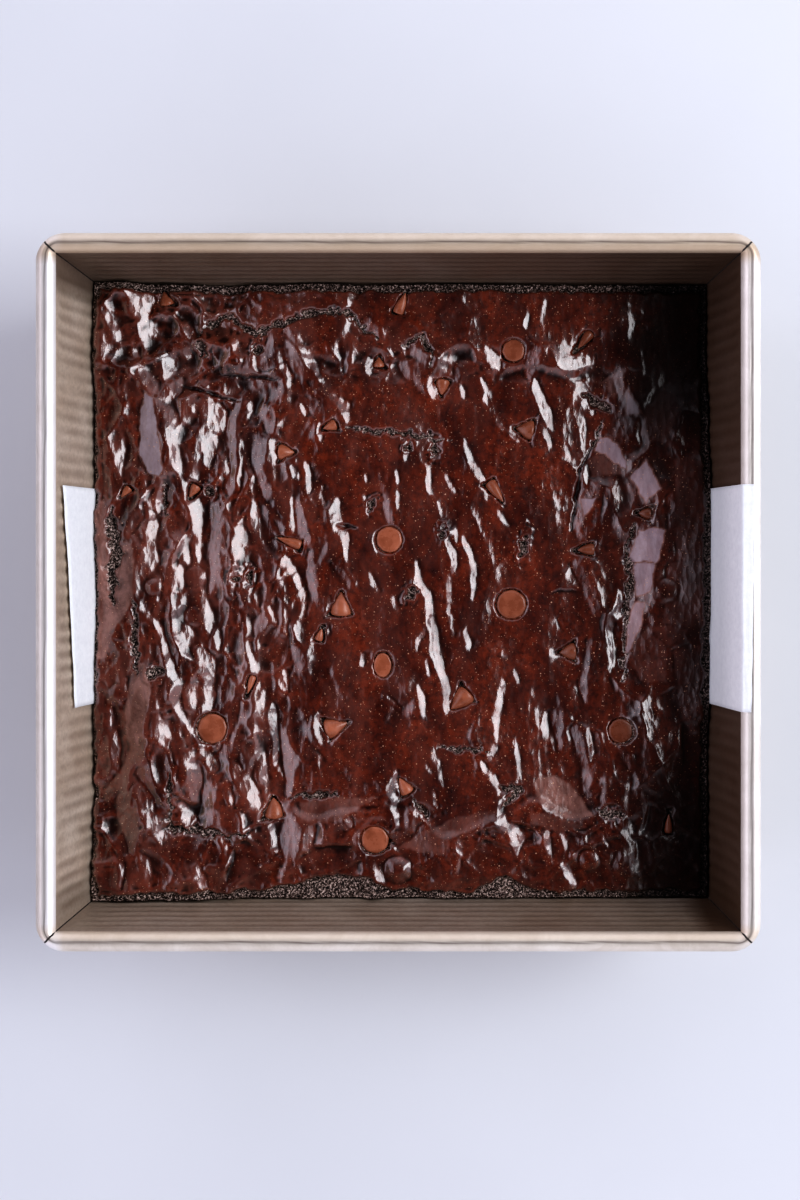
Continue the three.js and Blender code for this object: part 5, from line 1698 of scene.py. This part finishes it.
def seam_strip(line, sx, sy, wide, inward):
    """A narrow strip along a corner's seam, its middle moved in towards the tin's axis."""
    across = np.array((-sy, sx, 0)) / math.sqrt(2)
    waver = SEAM_WAVER * noise(np.arange(len(line)) / 2.5, np.full(len(line), 3.3 * sx + sy), 521)[:, None]
    middle = line + np.array((-sx, -sy, 0)) * inward
    edges = [line + across * (wide / 2 + waver), middle, line - across * (wide / 2 - waver)]
    return np.stack(edges, 1).reshape(-1, 3), grid_faces(len(line), 3)


def tin_seams(material):
    """The dark folds at the corners: over the rim and down each inner edge."""
    parts = []
    reach = RIM_CORNER / math.sqrt(2) - RIM_CORNER
    for sx, sy in CORNERS:
        inner = np.array([(sx * OPENING_X / 2, sy * OPENING_Y / 2)])
        outer = np.array([(sx * (TIN_X / 2 + reach), sy * (TIN_Y / 2 + reach))])
        over = rim_points(inner, outer, np.linspace(0.15, 2.5, 16), 0.03)[0]
        z = np.linspace(RIM_MIDDLE + 0.4, SLAB_TOP - 4, 14)
        down = np.stack([sx * (cavity_x(z) - SEAM_OFF_WALL), sy * (cavity_y(z) - SEAM_OFF_WALL), z], -1)
        parts.append(seam_strip(over, sx, sy, SEAM_WIDTH, 0))
        parts.append(seam_strip(down, sx, sy, SEAM_DOWN_WIDER * SEAM_WIDTH, SEAM_INWARD))
    finish_piece(mesh_object("tin_seams", *merged(parts), material), "baking_tin")


# The baking paper

PAPER_COLUMNS = 44
PAPER_STEPS = 18
PAPER_THIN = 0.12
PAPER_LEFT_TOP = 54.0
PAPER_LEFT_SLANT = 9.5
PAPER_RIGHT_REACH = 108.6
PAPER_RIGHT_SLANT = 1.0
PAPER_RAGGED = 0.25
PAPER_LIFT = 0.5
PAPER_LIFT_STEPS = 3.0
FLAP_START = (OPENING_X / 2 + 0.25, TIN_HEIGHT - 0.35)
FLAP_HEIGHT = TIN_HEIGHT + 0.42
PAPER_BEND_HEIGHT = RIM_MIDDLE + 1.2
PAPER_RIPPLE = ((0.14, 16, 9), (0.05, 5, 4))


def paper_path(left_top, right_reach):
    """The paper's line across the tin, in X and Z, from its left end to its right end over the rim."""
    off = PAPER_GAP + PAPER_THICKNESS / 2
    left_z = np.linspace(left_top, SHEET + off, PAPER_STEPS)
    left = np.stack([-(cavity_x(left_z) - off), left_z], -1)
    right_z = np.linspace(SHEET + off, PAPER_BEND_HEIGHT, PAPER_STEPS)
    right = np.stack([cavity_x(right_z) - off, right_z], -1)
    share = np.linspace(0, 1, PAPER_STEPS)[:, None]
    flap = (1 - share) * FLAP_START + share * (right_reach, FLAP_HEIGHT)
    return np.concatenate([left, right, flap])


def paper_lines():
    """The paper's middle, line by line across its width."""
    lines = []
    for share in np.linspace(0, 1, PAPER_COLUMNS + 1):
        y = PAPER_MIDDLE_Y + PAPER_WIDTH * (0.5 - share)
        ragged = PAPER_RAGGED * float(noise(np.array(share * 9), np.array(0.5), 531))
        left_top = PAPER_LEFT_TOP - PAPER_LEFT_SLANT * share ** 0.8 + ragged
        line = paper_path(left_top, PAPER_RIGHT_REACH - PAPER_RIGHT_SLANT * share + ragged)
        lines.append(np.column_stack([line[:, 0], np.full(len(line), y), line[:, 1]]))
    return np.array(lines)


def paper(material):
    points = paper_lines()
    before, after = np.roll(points, 1, 1), np.roll(points, -1, 1)
    before[:, 0], after[:, -1] = points[:, 0], points[:, -1]
    along = after - before
    along /= np.linalg.norm(along, axis=-1, keepdims=True)
    away = np.stack([-along[..., 2], 0 * along[..., 0], along[..., 0]], -1)
    rows, columns = points.shape[:2]
    path = np.arange(columns)[None, :]
    ripple = waves(points[..., 1], path, 532, PAPER_RIPPLE)
    uneven = 0.6 + 0.4 * noise(points[..., 1] / 13, path * 0.0, 534)
    lift = PAPER_LIFT * np.exp(-path / PAPER_LIFT_STEPS) * uneven
    points = points + away * (ripple + lift)[..., None]
    both = np.concatenate([points + away * PAPER_THIN / 2, points - away * PAPER_THIN / 2]).reshape(-1, 3)
    sheet = grid_faces(rows, columns)
    loop = grid_border(rows, columns)
    after_loop = np.roll(loop, -1)
    below = rows * columns
    edge = np.stack([loop, after_loop, after_loop + below, loop + below], -1)
    faces = np.concatenate([sheet, sheet[:, ::-1] + below, edge[:, ::-1]])
    finish_piece(mesh_object("paper_sling", both, faces, material), "parchment_sling")


# Floor, lights and camera

# Each screen is where it starts and is full, as a part of the way to the horizon, and how bright it is.
LEFT_SCREEN = (-0.4, -0.75, 1.7)
LEFT_FADE = (-1.0, -0.85, 1.0)
RIGHT_SCREEN = (0.35, 0.65, 0.9)
SIDE_FADE = (0.75, 0.35, 1.0)
BACK_SCREEN = (0.35, 0.85, 0.85)
FRONT_SCREEN = (-0.35, -0.85, 0.75)
LEFT_TINT = (-0.2, -0.6, 1.0)
OVERHEAD = 0.03
SCREEN_COLOUR = (0.90, 0.89, 1.0)
LEFT_COLOUR = (0.92, 0.875, 1.0)
FLOOR_HALF = 3000
WINDOW_PLACE = (1.0, 0.22, 1.0)
WINDOW_SIZE = (0.80, 0.84)
WINDOW_WATTS = 8.8
WINDOW_COLOUR = (0.95, 0.97, 1.0)


def floor():
    corners = np.column_stack([np.array(CORNERS)[[2, 3, 0, 1]] * FLOOR_HALF, np.zeros(4)])
    mesh_object("floor", corners, np.array([[0, 1, 2, 3]]), floor_material(), smooth=False)


def window():
    """A large soft light at the right, aimed at the tin."""
    data = bpy.data.lights.new("window", "AREA")
    data.shape = "RECTANGLE"
    data.size, data.size_y = WINDOW_SIZE
    data.energy = WINDOW_WATTS
    data.color = WINDOW_COLOUR
    made = bpy.data.objects.new("window", data)
    made.location = WINDOW_PLACE
    made.rotation_mode = "QUATERNION"
    made.rotation_quaternion = (-made.location).to_track_quat("-Z", "Y")
    bpy.context.scene.collection.objects.link(made)


def world():
    """A studio, dark overhead, with a large pale screen on the left and a dim one round the window."""
    n = Nodes(bpy.data.worlds.new("studio"))
    bpy.context.scene.world = n.owner
    coordinates = n.add("ShaderNodeTexCoord")
    x, y = n.add("ShaderNodeSeparateXYZ", {0: coordinates.outputs["Generated"]}).outputs[:2]

    def screen(value, start, end, strength):
        return n.span(value, start, end, 0, strength, "SMOOTHSTEP")

    left = n.times(screen(x, *LEFT_SCREEN), screen(x, *LEFT_FADE))
    beside = screen(n.math("ABSOLUTE", y), *SIDE_FADE)
    total = n.times(n.math("ADD", left, screen(x, *RIGHT_SCREEN)), beside)
    for value in (screen(y, *BACK_SCREEN), screen(y, *FRONT_SCREEN), OVERHEAD):
        total = n.math("ADD", total, value)
    back = n.tree.nodes["Background"]
    n.put(back.inputs["Strength"], total)
    n.put(back.inputs["Color"], n.mix(screen(x, *LEFT_TINT), SCREEN_COLOUR, LEFT_COLOUR))


def camera():
    data = bpy.data.cameras.new("camera")
    data.lens = LENS
    data.sensor_width = SENSOR
    data.shift_x = (PHOTO_WIDTH / 2 - AXIS_X) / PHOTO_HEIGHT
    data.shift_y = -(PHOTO_HEIGHT / 2 - AXIS_Y) / PHOTO_HEIGHT
    above_rim = LENS / SENSOR * PHOTO_HEIGHT / PIXELS_PER_MM
    made = bpy.data.objects.new("camera", data)
    made.location = (
        (AXIS_X - TIN_MIDDLE_PIXEL_X) / PIXELS_PER_MM * MM,
        -(AXIS_Y - TIN_MIDDLE_PIXEL_Y) / PIXELS_PER_MM * MM,
        (RIM_MIDDLE + above_rim) * MM,
    )
    bpy.context.scene.collection.objects.link(made)
    bpy.context.scene.camera = made


tin_walls(tin_material())
tin_rim(rim_material())
tin_seams(seam_material())
paper(paper_material())
crumb_made = crumb_material()
slab(skin_material(), crumb_made)
chips(chocolate_material())
crumbs(crumb_made)

floor()
world()
window()
camera()
bpy.context.scene.view_settings.view_transform = "Standard"
bpy.context.scene.view_settings.look = "High Contrast"
